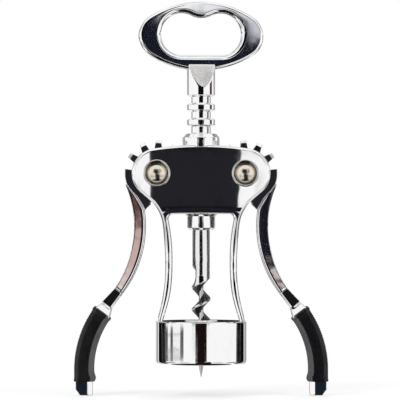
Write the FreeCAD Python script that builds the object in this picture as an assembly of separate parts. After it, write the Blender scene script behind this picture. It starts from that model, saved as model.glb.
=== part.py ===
import FreeCAD, Part
import math
import os

from FreeCAD import Vector

# Wing corkscrew with a crown cap opener for a handle.
# +Z runs up the worm's axis, the flat faces look along -Y and +Y, the levers lie towards -X and +X.
# Heights are set out above the bell's rim. The finished pieces are lifted so that the lever tips
# stand at z = 0, with the worm's axis at x = 0, y = 0.

# Spindle: the turned rod that carries the ring-shaped rack
shaft_radius = 5.9
rack_root_radius = 4.1
rack_grooves = 7
rack_groove_flank = 24.0
shaft_end_height = 56.1
shaft_end_bevel = 1.0
shaft_spigot_length = 5.5

# Gearing between the rack and the levers
rolling_radius = 12.0
teeth_per_turn = 12
lever_teeth = 6
lowest_tooth_angle = -3.2
tooth_tip_width = 2.25
tooth_base_width = 3.2
tooth_depth = 3.3
mesh_backlash = 0.25
mesh_tip_gap = 0.5

# Head of the frame
pivot_spread = 18.5
pivot_height = 79.9
lobe_radius = 10.4
crown_rise = 1.4
head_depth = 18.0
head_round = 1.2
face_crown_radius = 190.0
shoulder_angle = 41.0
slot_clearance = 0.4
boss_radius = 6.9
boss_height = 0.9

# Legs and window of the frame
window_top = 62.8
window_corner = 2.2
leg_waist = 15.0
leg_width = 3.0
leg_depth = 10.4
leg_foot_depth = 13.6

# Bell
bell_radius = 19.1
bell_height = 18.0
bell_wall = 3.3
bell_roof = 4.0
bell_edge = 1.5
bell_shoulder = 0.4
bell_bore_bevel = 0.4

# Worm guide in the bell's roof
guide_flange_radius = 9.4
guide_flange = 1.2
guide_spigot_radius = 6.8
guide_lip = 0.3
guide_clearance = 0.5

# Neck bush on top of the head
bush_radius = 7.75
bush_height = 5.6
bush_bevel = 1.6
bush_wall = 1.3
bush_spigot = 2.2

# Levers
hub_thickness = 9.0
hub_radius = 13.5
hub_rim_start = 172.0
hub_rim_end = 258.4
arm_width = 4.1
arm_waist_inset = 6.7
arm_waist_drop = 22.0
arm_bend_radius = 45.0
arm_heel_angle = -8.0
arm_neck_angle = -25.0
arm_splay = 37.0
panel_depth = 1.2
panel_outer_rim = 0.6
panel_inner_rim = 1.1
pad_start = 1.5
pad_length = 6.3
pad_outer = 3.0
pad_proud = 0.5
bolster_length = 3.4
bolster_half_width = 3.5
bolster_depth = 10.4
tab_length = 5.7
tab_width = 7.2
tab_bevel = 1.9
tang_depth = 6.4

# Grips
grip_bend_radius = 40.0
grip_tail = 5.1
grip_width = 8.4
grip_depth = 12.0
grip_bevel = 1.7
grip_fit = 0.05

# Pivots
pin_radius = 2.5
pin_clearance = 0.05
press_clearance = 0.03
dome_radius = 4.3
dome_height = 1.9
cup_radius = 5.65
cup_wall = 0.75
cup_height = 1.9
cup_floor = 0.4
hub_washer = 0.3
hub_washer_radius = 8.0

# Opener ring and its stem
ring_width = 52.8
ring_height = 28.9
ring_end_radius = 9.5
ring_centre_height = 137.4
ring_thickness = 4.0
ring_outer_round = 1.2
ring_inner_round = 1.8
opening_width = 34.0
opening_height = 17.4
opening_rise = 0.7
opening_tongue = 2.0
facet_reach = 2.55
facet_length = 9.5
handle_turn = 9.5

# Worm
worm_radius = 4.0
worm_core_radius = 1.15
worm_shank_radius = 3.7
worm_pitch = 9.2
worm_thread_top = 41.6
worm_point_height = -5.65
worm_taper_top = 7.0
worm_point_radius = 0.15
worm_spike_top = 0.05
worm_spike_radius = 1.1
worm_crest_width = 0.9
worm_floor_width = 3.6
worm_socket = 12.0
worm_pin_radius = 0.9
worm_pin_height = 60.6

# Running clearance of the spindle, and the tolerance for picking edges
shaft_clearance = 0.08
tolerance = 0.001

# Sizes that follow from those above
tooth_pitch_angle = 360.0 / teeth_per_turn
tooth_pitch = 2 * math.pi * rolling_radius / teeth_per_turn
gear_tip_radius = pivot_spread - rack_root_radius - mesh_tip_gap
gear_root_radius = gear_tip_radius - tooth_depth
groove_root_width = tooth_tip_width + mesh_backlash
groove_slope = math.tan(math.radians(rack_groove_flank))
groove_mouth_width = groove_root_width + 2 * (shaft_radius - rack_root_radius) * groove_slope
lowest_groove = pivot_height + rolling_radius * math.radians(lowest_tooth_angle) - tooth_pitch
top_groove = lowest_groove + (rack_grooves - 1) * tooth_pitch
neck_height = top_groove + groove_root_width / 2
half_head = head_depth / 2
half_slot = hub_thickness / 2 + hub_washer + pin_clearance
cup_seat = half_head - (pivot_spread + cup_radius) ** 2 / (2 * face_crown_radius)
slot_radius = gear_tip_radius + slot_clearance
crown_height = lobe_radius + crown_rise
head_top = pivot_height + crown_height
collar_seat = head_top - bush_radius ** 2 / (4 * pivot_spread)
shaft_bore = shaft_radius + shaft_clearance
bush_spigot_radius = shaft_bore + bush_wall
bell_bore = bell_radius - bell_wall
roof_underside = bell_height - bell_roof
half_arm = arm_width / 2
facet_top_height = ring_centre_height - ring_height / 2 + facet_reach
splay = math.radians(arm_splay)
arm_straight = pad_start + pad_length + bolster_length
lever_drop = (arm_waist_drop + (arm_bend_radius + grip_bend_radius) * math.sin(splay)
              + arm_straight * math.cos(splay) + grip_tail + tab_length)
lift = lever_drop - pivot_height


def polar(radius, degrees, x=0.0, z=0.0):
    """Point at a radius and angle about (x, z), in the plane of the front view."""
    angle = math.radians(degrees)
    return Vector(x + radius * math.cos(angle), 0, z + radius * math.sin(angle))


def line(start, end):
    return Part.makeLine(start, end)


def arc(start, middle, end):
    return Part.Arc(start, middle, end).toShape()


def curve(points):
    spline = Part.BSplineCurve()
    spline.interpolate(points)
    return spline.toShape()


def plate(edges, low, high):
    """Solid with an outline in the front view, reaching from y = low to y = high."""
    face = Part.Face(Part.Wire(edges))
    face.translate(Vector(0, low, 0))
    return face.extrude(Vector(0, high - low, 0))


def outline(points):
    return Part.makePolygon(points + points[:1]).Edges


def rod(radius, low, high):
    return Part.makeCylinder(radius, high - low, Vector(0, 0, low))


def cross_rod(radius, low, high, x=0.0, z=0.0):
    """Cylinder along Y through (x, z)."""
    return Part.makeCylinder(radius, high - low, Vector(x, low, z), Vector(0, 1, 0))


def turned(points):
    """Solid of revolution about Z from (radius, height) points."""
    wire = Part.makePolygon([Vector(r, 0, z) for r, z in points + points[:1]])
    return Part.Face(wire).revolve(Vector(0, 0, 0), Vector(0, 0, 1), 360)


def mirrored(shape):
    return shape.mirror(Vector(0, 0, 0), Vector(1, 0, 0))


def flip(point):
    """Point mirrored from the right side to the left."""
    return Vector(-point.x, point.y, point.z)


def level_edges(shape, depth):
    """Edges that lie wholly in the planes y = depth and y = -depth."""
    chosen = []
    for edge in shape.Edges:
        box = edge.BoundBox
        if box.YLength < tolerance and abs(abs(box.YMax) - depth) < tolerance:
            chosen.append(edge)
    return chosen


def leg_edge(side, inset, low):
    """Outer or inner edge of a leg, from the head's shoulder down to the bell."""
    shares = [(1.0, 1.147), (0.87, 1.045), (0.66, 1.0), (0.47, 1.06)]
    points = [Vector(side * (leg_waist * wide - inset), 0, window_top * high) for high, wide in shares]
    points.append(Vector(side * (bell_radius - inset), 0, low))
    return points


def head_outline():
    """Outline of the head and the legs down to the bell."""
    spread = pivot_spread
    crown = (spread ** 2 + crown_height ** 2 - lobe_radius ** 2) / (2 * crown_rise)
    crown_centre = head_top - crown
    lean = math.degrees(math.atan2(pivot_height - crown_centre, spread))
    shoulder = 270 + shoulder_angle
    right_join = polar(lobe_radius, lean, spread, pivot_height)
    right_side = polar(lobe_radius, (lean + shoulder - 360) / 2, spread, pivot_height)
    right_leave = polar(lobe_radius, shoulder, spread, pivot_height)
    foot = bell_height - bell_roof / 2
    right_leg = leg_edge(1, 0, foot)
    shoulder_end = right_leave + (right_leg[0] - right_leave) * 0.5
    shoulder_end.x = right_leave.x - (right_leave.z - shoulder_end.z) / math.tan(math.radians(shoulder_angle))
    right_curve = [shoulder_end] + right_leg
    left_curve = [flip(point) for point in reversed(right_curve)]
    return [
        arc(flip(right_join), Vector(0, 0, head_top), right_join),
        arc(right_join, right_side, right_leave),
        line(right_leave, shoulder_end),
        curve(right_curve),
        line(right_curve[-1], left_curve[0]),
        curve(left_curve),
        line(left_curve[-1], flip(right_leave)),
        arc(flip(right_leave), flip(right_side), flip(right_join)),
    ]


def window():
    """Opening between the legs, from the bell's roof to the head."""
    right = leg_edge(1, leg_width, bell_height)
    right[0] = Vector(right[0].x, 0, window_top)
    left = leg_edge(-1, leg_width, bell_height)
    left[0] = Vector(left[0].x, 0, window_top)
    edges = [
        line(left[0], right[0]),
        curve(right),
        line(right[-1], left[-1]),
        curve(list(reversed(left))),
    ]
    solid = plate(edges, -head_depth, head_depth)
    corners = [edge for edge in solid.Edges
               if abs(edge.BoundBox.ZMin - window_top) < tolerance and edge.BoundBox.YLength > head_depth
               and edge.BoundBox.XLength < tolerance]
    return solid.makeFillet(window_corner, corners)


def side_profile():
    """Depth of the frame from the head down the legs, as a solid along X."""
    half_leg = leg_depth / 2
    half_foot = leg_foot_depth / 2
    waist = window_top * 0.62
    foot = bell_height - bell_roof / 2
    head_foot = window_top * 1.03
    front = [
        Vector(0, half_head + head_round / 4, head_foot),
        Vector(0, half_leg + (half_head - half_leg) * 0.25, window_top * 0.85),
        Vector(0, half_leg, waist),
        Vector(0, half_foot, foot),
    ]
    back = [Vector(0, -point.y, point.z) for point in reversed(front)]
    top = head_top + crown_height
    edges = [
        line(Vector(0, front[0].y, top), front[0]),
        curve(front),
        line(front[-1], back[0]),
        curve(back),
        line(back[-1], Vector(0, back[-1].y, top)),
        line(Vector(0, back[-1].y, top), Vector(0, front[0].y, top)),
    ]
    face = Part.Face(Part.Wire(edges))
    reach = pivot_spread + 2 * lobe_radius
    face.translate(Vector(-reach, 0, 0))
    return face.extrude(Vector(2 * reach, 0, 0))


def bell():
    """Bell that sits on the bottle's neck, with a roof bored for the worm guide."""
    body = turned([
        (0, roof_underside),
        (bell_bore, roof_underside),
        (bell_bore, bell_bore_bevel),
        (bell_bore + bell_bore_bevel, 0),
        (bell_radius, 0),
        (bell_radius, bell_height - bell_shoulder),
        (bell_radius - bell_shoulder, bell_height),
        (0, bell_height),
    ])
    rim = [edge for edge in body.Edges
           if abs(edge.BoundBox.XMax - bell_radius) < tolerance and edge.BoundBox.ZMax < tolerance]
    return body.makeFillet(bell_edge, rim)


def leg_envelope():
    """Space that the legs may fill: no wider than the bell below half the window's height."""
    reach = 2 * pivot_spread
    top = head_top + crown_height
    return turned([
        (0, 0),
        (bell_radius - bell_shoulder, 0),
        (bell_radius - bell_shoulder, window_top / 2),
        (reach, window_top / 2),
        (reach, top),
        (0, top),
    ])


def crowned_blank():
    """Head and legs as a plate with rounded rims, whose broad faces bulge about upright axes."""
    top = head_top + crown_height
    front = Part.makeCylinder(face_crown_radius, top, Vector(0, face_crown_radius - half_head, 0))
    back = Part.makeCylinder(face_crown_radius, top, Vector(0, half_head - face_crown_radius, 0))
    blank = plate(head_outline(), -head_depth, head_depth).common(front.common(back))
    rims = [edge for edge in blank.Edges if edge.BoundBox.YMin * edge.BoundBox.YMax > 0]
    return blank.makeFillet(head_round, rims)


def frame():
    body = crowned_blank().common(side_profile())
    body = body.common(leg_envelope()).cut(window())
    boss = turned([
        (0, window_top + boss_height),
        (0, window_top - boss_height),
        (shaft_radius + bush_wall / 2, window_top - boss_height),
        (boss_radius, window_top),
        (boss_radius, window_top + boss_height),
    ])
    body = body.fuse([bell(), boss])
    cuts = [
        rod(shaft_bore, shaft_end_height, head_top + bush_height),
        rod(bush_spigot_radius + pin_clearance, collar_seat - bush_spigot - pin_clearance,
            head_top + bush_height),
        rod(bush_radius + crown_rise, collar_seat, head_top + bush_height),
        rod(guide_spigot_radius + press_clearance, roof_underside - guide_flange, bell_height + bell_roof),
    ]
    for side in (-1, 1):
        x = side * pivot_spread
        cuts.append(cross_rod(slot_radius, -half_slot, half_slot, x, pivot_height))
        cuts.append(cross_rod(pin_radius + press_clearance, -head_depth, head_depth, x, pivot_height))
        cuts.append(cross_rod(cup_radius + pin_clearance, cup_seat, head_depth, x, pivot_height))
        cuts.append(cross_rod(cup_radius + pin_clearance, -head_depth, -cup_seat, x, pivot_height))
    return body.cut(cuts)


def worm_guide():
    """Plastic bush in the bell's roof that centres the worm."""
    hole = worm_radius + guide_clearance
    top = bell_height + guide_lip
    return turned([
        (hole, roof_underside - guide_flange),
        (guide_flange_radius, roof_underside - guide_flange),
        (guide_flange_radius, roof_underside),
        (guide_spigot_radius, roof_underside),
        (guide_spigot_radius, top),
        (hole + guide_lip, top),
        (hole, top - guide_lip),
    ])


def neck_bush():
    """Collar on the head that guides the rack."""
    top = collar_seat + bush_height
    return turned([
        (shaft_bore, collar_seat - bush_spigot),
        (bush_spigot_radius, collar_seat - bush_spigot),
        (bush_spigot_radius, collar_seat),
        (bush_radius, collar_seat),
        (bush_radius, top - bush_bevel),
        (shaft_bore + bush_wall / 3, top),
        (shaft_bore, top),
    ])


def pivot_pin(side):
    """Pin with a domed head in front; its plain end carries the cap behind."""
    x = side * pivot_spread
    seat = cup_seat + cup_floor
    shank = cross_rod(pin_radius, -seat, seat + dome_height / 2, x, pivot_height)
    return shank.fuse(dome(x, -seat, -1))


def dome(x, y, direction):
    """Shallow dome that bulges along -Y or +Y from the plane y."""
    ball_radius = (dome_radius ** 2 + dome_height ** 2) / (2 * dome_height)
    centre = y + direction * (dome_height - ball_radius)
    ball = Part.makeSphere(ball_radius, Vector(x, centre, pivot_height))
    keep = cross_rod(dome_radius, min(y, y + direction * dome_height),
                     max(y, y + direction * dome_height), x, pivot_height)
    return ball.common(keep)


def pin_cap(side):
    """Domed cap pressed on the pin's plain end."""
    x = side * pivot_spread
    seat = cup_seat + cup_floor
    socket = cross_rod(pin_radius + press_clearance, seat - cup_floor,
                       seat + dome_height / 2 + press_clearance, x, pivot_height)
    return dome(x, seat, 1).cut(socket)


def cup_washer(side, direction):
    """Rimmed washer round a pivot's dome."""
    x = side * pivot_spread
    near = cup_seat
    spans = sorted((direction * near, direction * (near + cup_height)))
    body = cross_rod(cup_radius, spans[0], spans[1], x, pivot_height)
    spans = sorted((direction * (near + cup_floor), direction * (near + 2 * cup_height)))
    body = body.cut(cross_rod(cup_radius - cup_wall, spans[0], spans[1], x, pivot_height))
    return body.cut(cross_rod(pin_radius + press_clearance, -head_depth, head_depth, x, pivot_height))


def hub_washers(side):
    """Thin washers that centre a lever's hub between the head's plates."""
    x = side * pivot_spread
    gap = hub_thickness / 2 + pin_clearance
    pair = []
    for low, high in ((-gap - hub_washer, -gap), (gap, gap + hub_washer)):
        disc = cross_rod(hub_washer_radius, low, high, x, pivot_height)
        pair.append(disc.cut(cross_rod(pin_radius + pin_clearance, -half_slot, half_slot, x, pivot_height)))
    return Part.makeCompound(pair)


def arm_point(offset, degrees):
    """Point beside the arm's upper bend, at an outward offset from its centre line."""
    x = -arm_waist_inset - arm_bend_radius
    return polar(arm_bend_radius - offset, -degrees, x, -arm_waist_drop)


def straight_point(along, offset):
    """Point beside the arm's straight run below the bend."""
    start = arm_point(0, arm_splay)
    down = Vector(-math.sin(splay), 0, -math.cos(splay))
    outward = Vector(-math.cos(splay), 0, math.sin(splay))
    return start + down * along + outward * offset


def grip_point(offset, degrees):
    """Point beside the grip's bend, from the splay angle round to straight down."""
    start = straight_point(arm_straight, 0)
    angle = math.radians(degrees)
    centre_x = start.x + grip_bend_radius * math.cos(splay)
    centre_z = start.z - grip_bend_radius * math.sin(splay)
    radius = grip_bend_radius + offset
    return Vector(centre_x - radius * math.cos(angle), 0, centre_z + radius * math.sin(angle))


def arm_arc(offset, start, end):
    return arc(arm_point(offset, start), arm_point(offset, (start + end) / 2), arm_point(offset, end))


def grip_arc(offset, start, end):
    return arc(grip_point(offset, start), grip_point(offset, (start + end) / 2), grip_point(offset, end))


def tail_point(offset, drop):
    return grip_point(offset, 0) + Vector(0, 0, -drop)


def grip_band(inner, outer, tail):
    """Edges of a band that follows the grip's bend and the straight tail below it."""
    return [
        grip_arc(outer, arm_splay, 0),
        line(tail_point(outer, 0), tail_point(outer, tail)),
        line(tail_point(outer, tail), tail_point(inner, tail)),
        line(tail_point(inner, tail), tail_point(inner, 0)),
        grip_arc(inner, 0, arm_splay),
        line(grip_point(inner, arm_splay), grip_point(outer, arm_splay)),
    ]


def gear_tooth(degrees):
    """Gear tooth pointing away from the pivot at an angle."""
    foot = gear_root_radius - tooth_base_width / 2
    half_base = tooth_base_width / 2
    half_tip = tooth_tip_width / 2
    points = [
        Vector(foot, 0, -half_base),
        Vector(gear_root_radius, 0, -half_base),
        Vector(gear_tip_radius, 0, -half_tip),
        Vector(gear_tip_radius, 0, half_tip),
        Vector(gear_root_radius, 0, half_base),
        Vector(foot, 0, half_base),
    ]
    tooth = plate(outline(points), -hub_thickness / 2, hub_thickness / 2)
    tooth.rotate(Vector(0, 0, 0), Vector(0, -1, 0), degrees)
    return tooth


def lever_hub():
    half = hub_thickness / 2
    hub = cross_rod(gear_root_radius, -half, half)
    middle = (hub_rim_start + hub_rim_end) / 2
    rim = [
        line(Vector(0, 0, 0), polar(hub_radius, hub_rim_start)),
        arc(polar(hub_radius, hub_rim_start), polar(hub_radius, middle), polar(hub_radius, hub_rim_end)),
        line(polar(hub_radius, hub_rim_end), Vector(0, 0, 0)),
    ]
    teeth = [gear_tooth(lowest_tooth_angle + index * tooth_pitch_angle) for index in range(lever_teeth)]
    return hub.fuse([plate(rim, -half, half)] + teeth)


def lever_arm():
    half = hub_thickness / 2
    inner = -half_arm
    outer = half_arm
    edges = [
        line(Vector(0, 0, 0), arm_point(outer, arm_neck_angle)),
        arm_arc(outer, arm_neck_angle, arm_splay),
        line(arm_point(outer, arm_splay), straight_point(arm_straight, outer)),
        line(straight_point(arm_straight, outer), straight_point(arm_straight, inner)),
        line(straight_point(arm_straight, inner), arm_point(inner, arm_splay)),
        arm_arc(inner, arm_splay, arm_heel_angle),
        line(arm_point(inner, arm_heel_angle), polar(hub_radius, hub_rim_end)),
        line(polar(hub_radius, hub_rim_end), Vector(0, 0, 0)),
    ]
    return plate(edges, -half, half)


def lever_panel():
    """Sunk panel between the arm's rims, on one face."""
    outer = half_arm - panel_outer_rim
    inner = -half_arm + panel_inner_rim
    tip = arm_point(outer, arm_neck_angle * 0.86)
    turn = arm_point(inner, arm_heel_angle * 0.5)
    bulge = (tip + turn) * 0.5
    bulge = bulge + bulge.normalize() * (panel_inner_rim + panel_outer_rim)
    edges = [
        arm_arc(outer, arm_neck_angle * 0.86, arm_splay),
        line(arm_point(outer, arm_splay), arm_point(inner, arm_splay)),
        arm_arc(inner, arm_splay, arm_heel_angle * 0.5),
        arc(turn, bulge, tip),
    ]
    half = hub_thickness / 2
    return plate(edges, half - panel_depth, half + panel_depth)


def lever_metal():
    """Lever on the left, with its pivot at x = 0, z = 0."""
    half_pad = hub_thickness / 2 + pad_proud
    pad = outline([
        straight_point(pad_start, -half_arm),
        straight_point(pad_start, half_arm),
        straight_point(pad_start + pad_length, pad_outer),
        straight_point(pad_start + pad_length, -half_arm),
    ])
    pad_end = pad_start + pad_length
    bolster = outline([
        straight_point(pad_end, -half_arm),
        straight_point(pad_end, pad_outer),
        straight_point(arm_straight, bolster_half_width),
        straight_point(arm_straight, -bolster_half_width),
    ])
    tang = grip_band(-half_arm, half_arm, grip_tail)
    half_tab = tab_width / 2
    tab = outline([
        tail_point(-half_tab, grip_tail),
        tail_point(half_tab, grip_tail),
        tail_point(half_tab, grip_tail + tab_length - 1.4 * tab_bevel),
        tail_point(half_tab - tab_bevel, grip_tail + tab_length),
        tail_point(-half_tab, grip_tail + tab_length),
    ])
    body = lever_arm()
    panel = lever_panel()
    body = body.cut([panel, panel.mirror(Vector(0, 0, 0), Vector(0, 1, 0))])
    body = body.fuse([
        lever_hub(),
        plate(pad, -half_pad, half_pad),
        plate(bolster, -bolster_depth / 2, bolster_depth / 2),
        plate(tang, -tang_depth / 2, tang_depth / 2),
        plate(tab, -hub_thickness / 2, hub_thickness / 2),
    ])
    bore = cross_rod(pin_radius + pin_clearance, -hub_thickness, hub_thickness)
    return body.cut(bore).removeSplitter()


def grip_sleeve():
    """Rubber grip over the lever's tang, with its long edges bevelled."""
    half = grip_depth / 2
    half_width = grip_width / 2
    sleeve = plate(grip_band(-half_width, half_width, grip_tail), -half, half)
    long_edges = [edge for edge in level_edges(sleeve, half) if edge.BoundBox.ZLength > grip_tail * 0.9]
    sleeve = sleeve.makeChamfer(grip_bevel, long_edges)
    hollow = plate(grip_band(-half_arm - grip_fit, half_arm + grip_fit, 2 * grip_tail),
                   -tang_depth / 2 - grip_fit, tang_depth / 2 + grip_fit)
    return sleeve.cut(hollow)


def at_pivot(shape, side):
    """Set a left-hand lever piece at its pivot, or mirror it to the right."""
    placed = shape.copy()
    placed.translate(Vector(-pivot_spread, 0, pivot_height))
    return placed if side < 0 else mirrored(placed)


def rack_spindle():
    """Turned rod with ring-shaped rack grooves and a spigot that enters the handle's stem."""
    end = shaft_end_height
    points = [(0, end), (shaft_radius - shaft_end_bevel, end), (shaft_radius, end + shaft_end_bevel)]
    for index in range(rack_grooves):
        centre = lowest_groove + index * tooth_pitch
        points.append((shaft_radius, centre - groove_mouth_width / 2))
        points.append((rack_root_radius, centre - groove_root_width / 2))
        if index < rack_grooves - 1:
            points.append((rack_root_radius, centre + groove_root_width / 2))
            points.append((shaft_radius, centre + groove_mouth_width / 2))
    points.append((rack_root_radius, neck_height + shaft_spigot_length))
    points.append((0, neck_height + shaft_spigot_length))
    body = turned(points)
    socket = rod(worm_shank_radius + press_clearance, end - shaft_end_bevel,
                 end + worm_socket + press_clearance)
    return body.cut([socket, pin_bore()])


def pin_bore():
    return Part.makeCylinder(worm_pin_radius + press_clearance, 4 * shaft_radius,
                             Vector(-2 * shaft_radius, 0, worm_pin_height), Vector(1, 0, 0))


def worm_pin():
    """Cross pin that holds the worm's shank in the spindle."""
    length = 2 * (shaft_radius - shaft_clearance)
    pin = Part.makeCylinder(worm_pin_radius, length, Vector(-length / 2, 0, worm_pin_height), Vector(1, 0, 0))
    return pin.common(rod(shaft_radius, shaft_end_height, pivot_height))


def opener_ring():
    """Rounded ring plate with the crown cap opening."""
    half = ring_thickness / 2
    blank = plate(ring_outline(), -half, half)
    blank = blank.makeFillet(ring_outer_round, level_edges(blank, half))
    ring = blank.cut(plate(opening_outline(), -ring_thickness, ring_thickness))
    reach = opening_width / 2 + tolerance
    mouth = [edge for edge in level_edges(ring, half)
             if edge.BoundBox.XMax < reach and edge.BoundBox.XMin > -reach]
    return ring.makeFillet(ring_inner_round, mouth)


def stem_slope(direction):
    """Metal to take off the stem for the sloping flat that leads up to one face of the ring."""
    half = ring_thickness / 2
    high = facet_top_height + facet_reach
    wide = 2 * shaft_radius
    corners = [
        Vector(-wide, direction * half, facet_top_height),
        Vector(-wide, direction * shaft_radius, facet_top_height - facet_length),
        Vector(-wide, direction * wide, facet_top_height - facet_length),
        Vector(-wide, direction * wide, high),
        Vector(-wide, direction * half, high),
    ]
    return Part.Face(Part.makePolygon(corners + corners[:1])).extrude(Vector(2 * wide, 0, 0))


def opener_handle():
    """Crown cap opener: the ring on a stem with sloping flats and a socket for the spindle."""
    stem = turned([
        (0, neck_height),
        (rack_root_radius, neck_height),
        (shaft_radius, neck_height + (groove_mouth_width - groove_root_width) / 2),
        (shaft_radius, facet_top_height),
        (0, facet_top_height),
    ])
    stem = stem.cut([stem_slope(-1), stem_slope(1)])
    socket = rod(rack_root_radius + press_clearance, neck_height - shaft_clearance,
                 neck_height + shaft_spigot_length + press_clearance)
    return opener_ring().fuse(stem).cut(socket)


def ring_outline():
    """Oval of four arcs that meet without a corner."""
    wide = ring_width / 2
    high = ring_height / 2
    end_centre = Vector(wide - ring_end_radius, 0, ring_centre_height)
    side_radius = (end_centre.x ** 2 + high ** 2 - ring_end_radius ** 2) / (2 * (high - ring_end_radius))
    reach = Vector(end_centre.x, 0, side_radius - high).normalize() * ring_end_radius
    upper = end_centre + reach
    lower = end_centre + Vector(reach.x, 0, -reach.z)
    top = Vector(0, 0, ring_centre_height + high)
    bottom = Vector(0, 0, ring_centre_height - high)
    end = Vector(wide, 0, ring_centre_height)
    return [
        arc(flip(upper), top, upper),
        arc(upper, end, lower),
        arc(lower, bottom, flip(lower)),
        arc(flip(lower), flip(end), flip(upper)),
    ]


def opening_outline():
    """Cap opening: two round ends, a straight lower edge, and a tongue that dips between the ends."""
    radius = opening_height / 2
    middle = ring_centre_height + opening_rise
    end_centre = Vector(opening_width / 2 - radius, 0, middle)
    dip = radius - opening_tongue
    tongue_radius = (end_centre.x ** 2 + dip ** 2 - radius ** 2) / (2 * opening_tongue)
    join = end_centre + Vector(-end_centre.x, 0, dip + tongue_radius).normalize() * radius
    low = end_centre - Vector(0, 0, radius)
    side = end_centre + Vector(radius, 0, 0)
    tongue = Vector(0, 0, middle + dip)
    return [
        arc(flip(join), tongue, join),
        arc(join, side, low),
        line(low, flip(low)),
        arc(flip(low), flip(side), flip(join)),
    ]


def worm():
    """Steel worm: a shank, a thread cut as a spiral groove, and a central point."""
    blank = turned([
        (0, worm_point_height),
        (worm_radius, worm_point_height),
        (worm_radius, worm_thread_top - worm_pitch),
        (worm_shank_radius, worm_thread_top - worm_pitch / 2),
        (worm_shank_radius, shaft_end_height + worm_socket),
        (0, shaft_end_height + worm_socket),
    ])
    groove = spiral_groove(worm_point_height - worm_pitch, worm_thread_top - worm_pitch / 2)
    outside_point = turned([
        (worm_point_radius, worm_point_height),
        (worm_spike_radius, worm_spike_top),
        (worm_radius, worm_taper_top),
        (2 * worm_radius, worm_taper_top),
        (2 * worm_radius, worm_point_height - worm_radius),
        (worm_point_radius, worm_point_height - worm_radius),
    ])
    return blank.cut([groove, outside_point, pin_bore()])


def spiral_groove(low, high):
    """Right-handed spiral space between the worm's blades, about a straight core."""
    half_floor = worm_floor_width / 2
    half_mouth = (worm_pitch - worm_crest_width) / 2
    blade_slope = (half_mouth - half_floor) / (worm_radius - worm_core_radius)
    reach = worm_radius + worm_crest_width / 2 / blade_slope * 0.8
    spread = half_floor + (reach - worm_core_radius) * blade_slope
    helix = Part.makeHelix(worm_pitch, high - low, worm_core_radius)
    section = Part.makePolygon([
        Vector(worm_core_radius, 0, -half_floor),
        Vector(reach, 0, -spread),
        Vector(reach, 0, spread),
        Vector(worm_core_radius, 0, half_floor),
        Vector(worm_core_radius, 0, -half_floor),
    ])
    sweep = Part.Wire(helix.Edges).makePipeShell([section], True, True)
    sweep.translate(Vector(0, 0, low))
    return sweep


def turned_by_handle(shape):
    """Spindle piece turned about the worm's axis to the angle the handle rests at."""
    placed = shape.copy()
    placed.rotate(Vector(0, 0, 0), Vector(0, 0, 1), handle_turn)
    return placed


def build():
    lever = lever_metal()
    sleeve = grip_sleeve()
    pieces = {
        "frame": frame(),
        "worm_guide": worm_guide(),
        "neck_bush": neck_bush(),
        "rack_spindle": turned_by_handle(rack_spindle()),
        "opener_handle": turned_by_handle(opener_handle()),
        "worm": turned_by_handle(worm()),
        "worm_pin": turned_by_handle(worm_pin()),
    }
    for side, name in ((-1, "left"), (1, "right")):
        pieces[name + "_lever"] = at_pivot(lever, side)
        pieces[name + "_grip"] = at_pivot(sleeve, side)
        pieces[name + "_pivot_pin"] = pivot_pin(side)
        pieces[name + "_pin_cap"] = pin_cap(side)
        pieces[name + "_front_cup"] = cup_washer(side, -1)
        pieces[name + "_back_cup"] = cup_washer(side, 1)
        pieces[name + "_hub_washers"] = hub_washers(side)
    return pieces


os.makedirs("parts", exist_ok=True)
for name, shape in build().items():
    shape.translate(Vector(0, 0, lift))
    shape.exportStep(os.path.join("parts", name + ".step"))
    print(name, "valid" if shape.isValid() else "NOT VALID", len(shape.Solids), round(shape.Volume, 1))
print("lift", round(lift, 3))
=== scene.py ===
import bpy
import bmesh
import math
import numpy as np
from mathutils import Matrix, Vector


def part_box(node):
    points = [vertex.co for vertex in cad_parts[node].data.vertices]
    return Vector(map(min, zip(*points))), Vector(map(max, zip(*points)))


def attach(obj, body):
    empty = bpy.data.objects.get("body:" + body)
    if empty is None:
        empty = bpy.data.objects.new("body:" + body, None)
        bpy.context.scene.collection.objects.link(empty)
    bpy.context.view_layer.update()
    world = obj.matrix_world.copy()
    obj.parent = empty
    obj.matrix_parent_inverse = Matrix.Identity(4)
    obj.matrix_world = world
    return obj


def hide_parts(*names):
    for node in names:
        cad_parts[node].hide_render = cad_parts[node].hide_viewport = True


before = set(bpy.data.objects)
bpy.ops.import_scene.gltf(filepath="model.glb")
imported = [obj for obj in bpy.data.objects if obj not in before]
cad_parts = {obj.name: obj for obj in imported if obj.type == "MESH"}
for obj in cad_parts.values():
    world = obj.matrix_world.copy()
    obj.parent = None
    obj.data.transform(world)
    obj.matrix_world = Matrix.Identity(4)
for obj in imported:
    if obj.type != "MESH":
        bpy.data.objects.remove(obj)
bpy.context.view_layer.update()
mm = 0.001
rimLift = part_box("frame")[0].z / mm  # height of the bell's rim, all sizes below are above it
mergeGap, tinyEdge = 2e-7, 1e-8  # metres
print("stage: frame loaded")


class Spec(dict):
    # a piece's dictionary, whose values also read as attributes
    __getattr__ = dict.__getitem__


class Wire:
    # one output of a node; sums on it become Math nodes
    def __init__(self, graph, socket):
        self.graph = graph
        self.socket = socket

    def math(self, operation, *others):
        return self.graph.wire("ShaderNodeMath", {"operation": operation}, dict(enumerate((self, *others))))

    __add__ = __radd__ = lambda self, other: self.math("ADD", other)
    __mul__ = __rmul__ = lambda self, other: self.math("MULTIPLY", other)
    __sub__ = lambda self, other: self.math("SUBTRACT", other)
    __truediv__ = lambda self, other: self.math("DIVIDE", other)
    __gt__ = lambda self, other: self.math("GREATER_THAN", other)

    def ramp(self, low, high):
        # 0 below low, 1 above high, smooth between
        sockets = {"Value": self, "From Min": low, "From Max": high}
        return self.graph.wire("ShaderNodeMapRange", {"interpolation_type": "SMOOTHSTEP"}, sockets)


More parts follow.
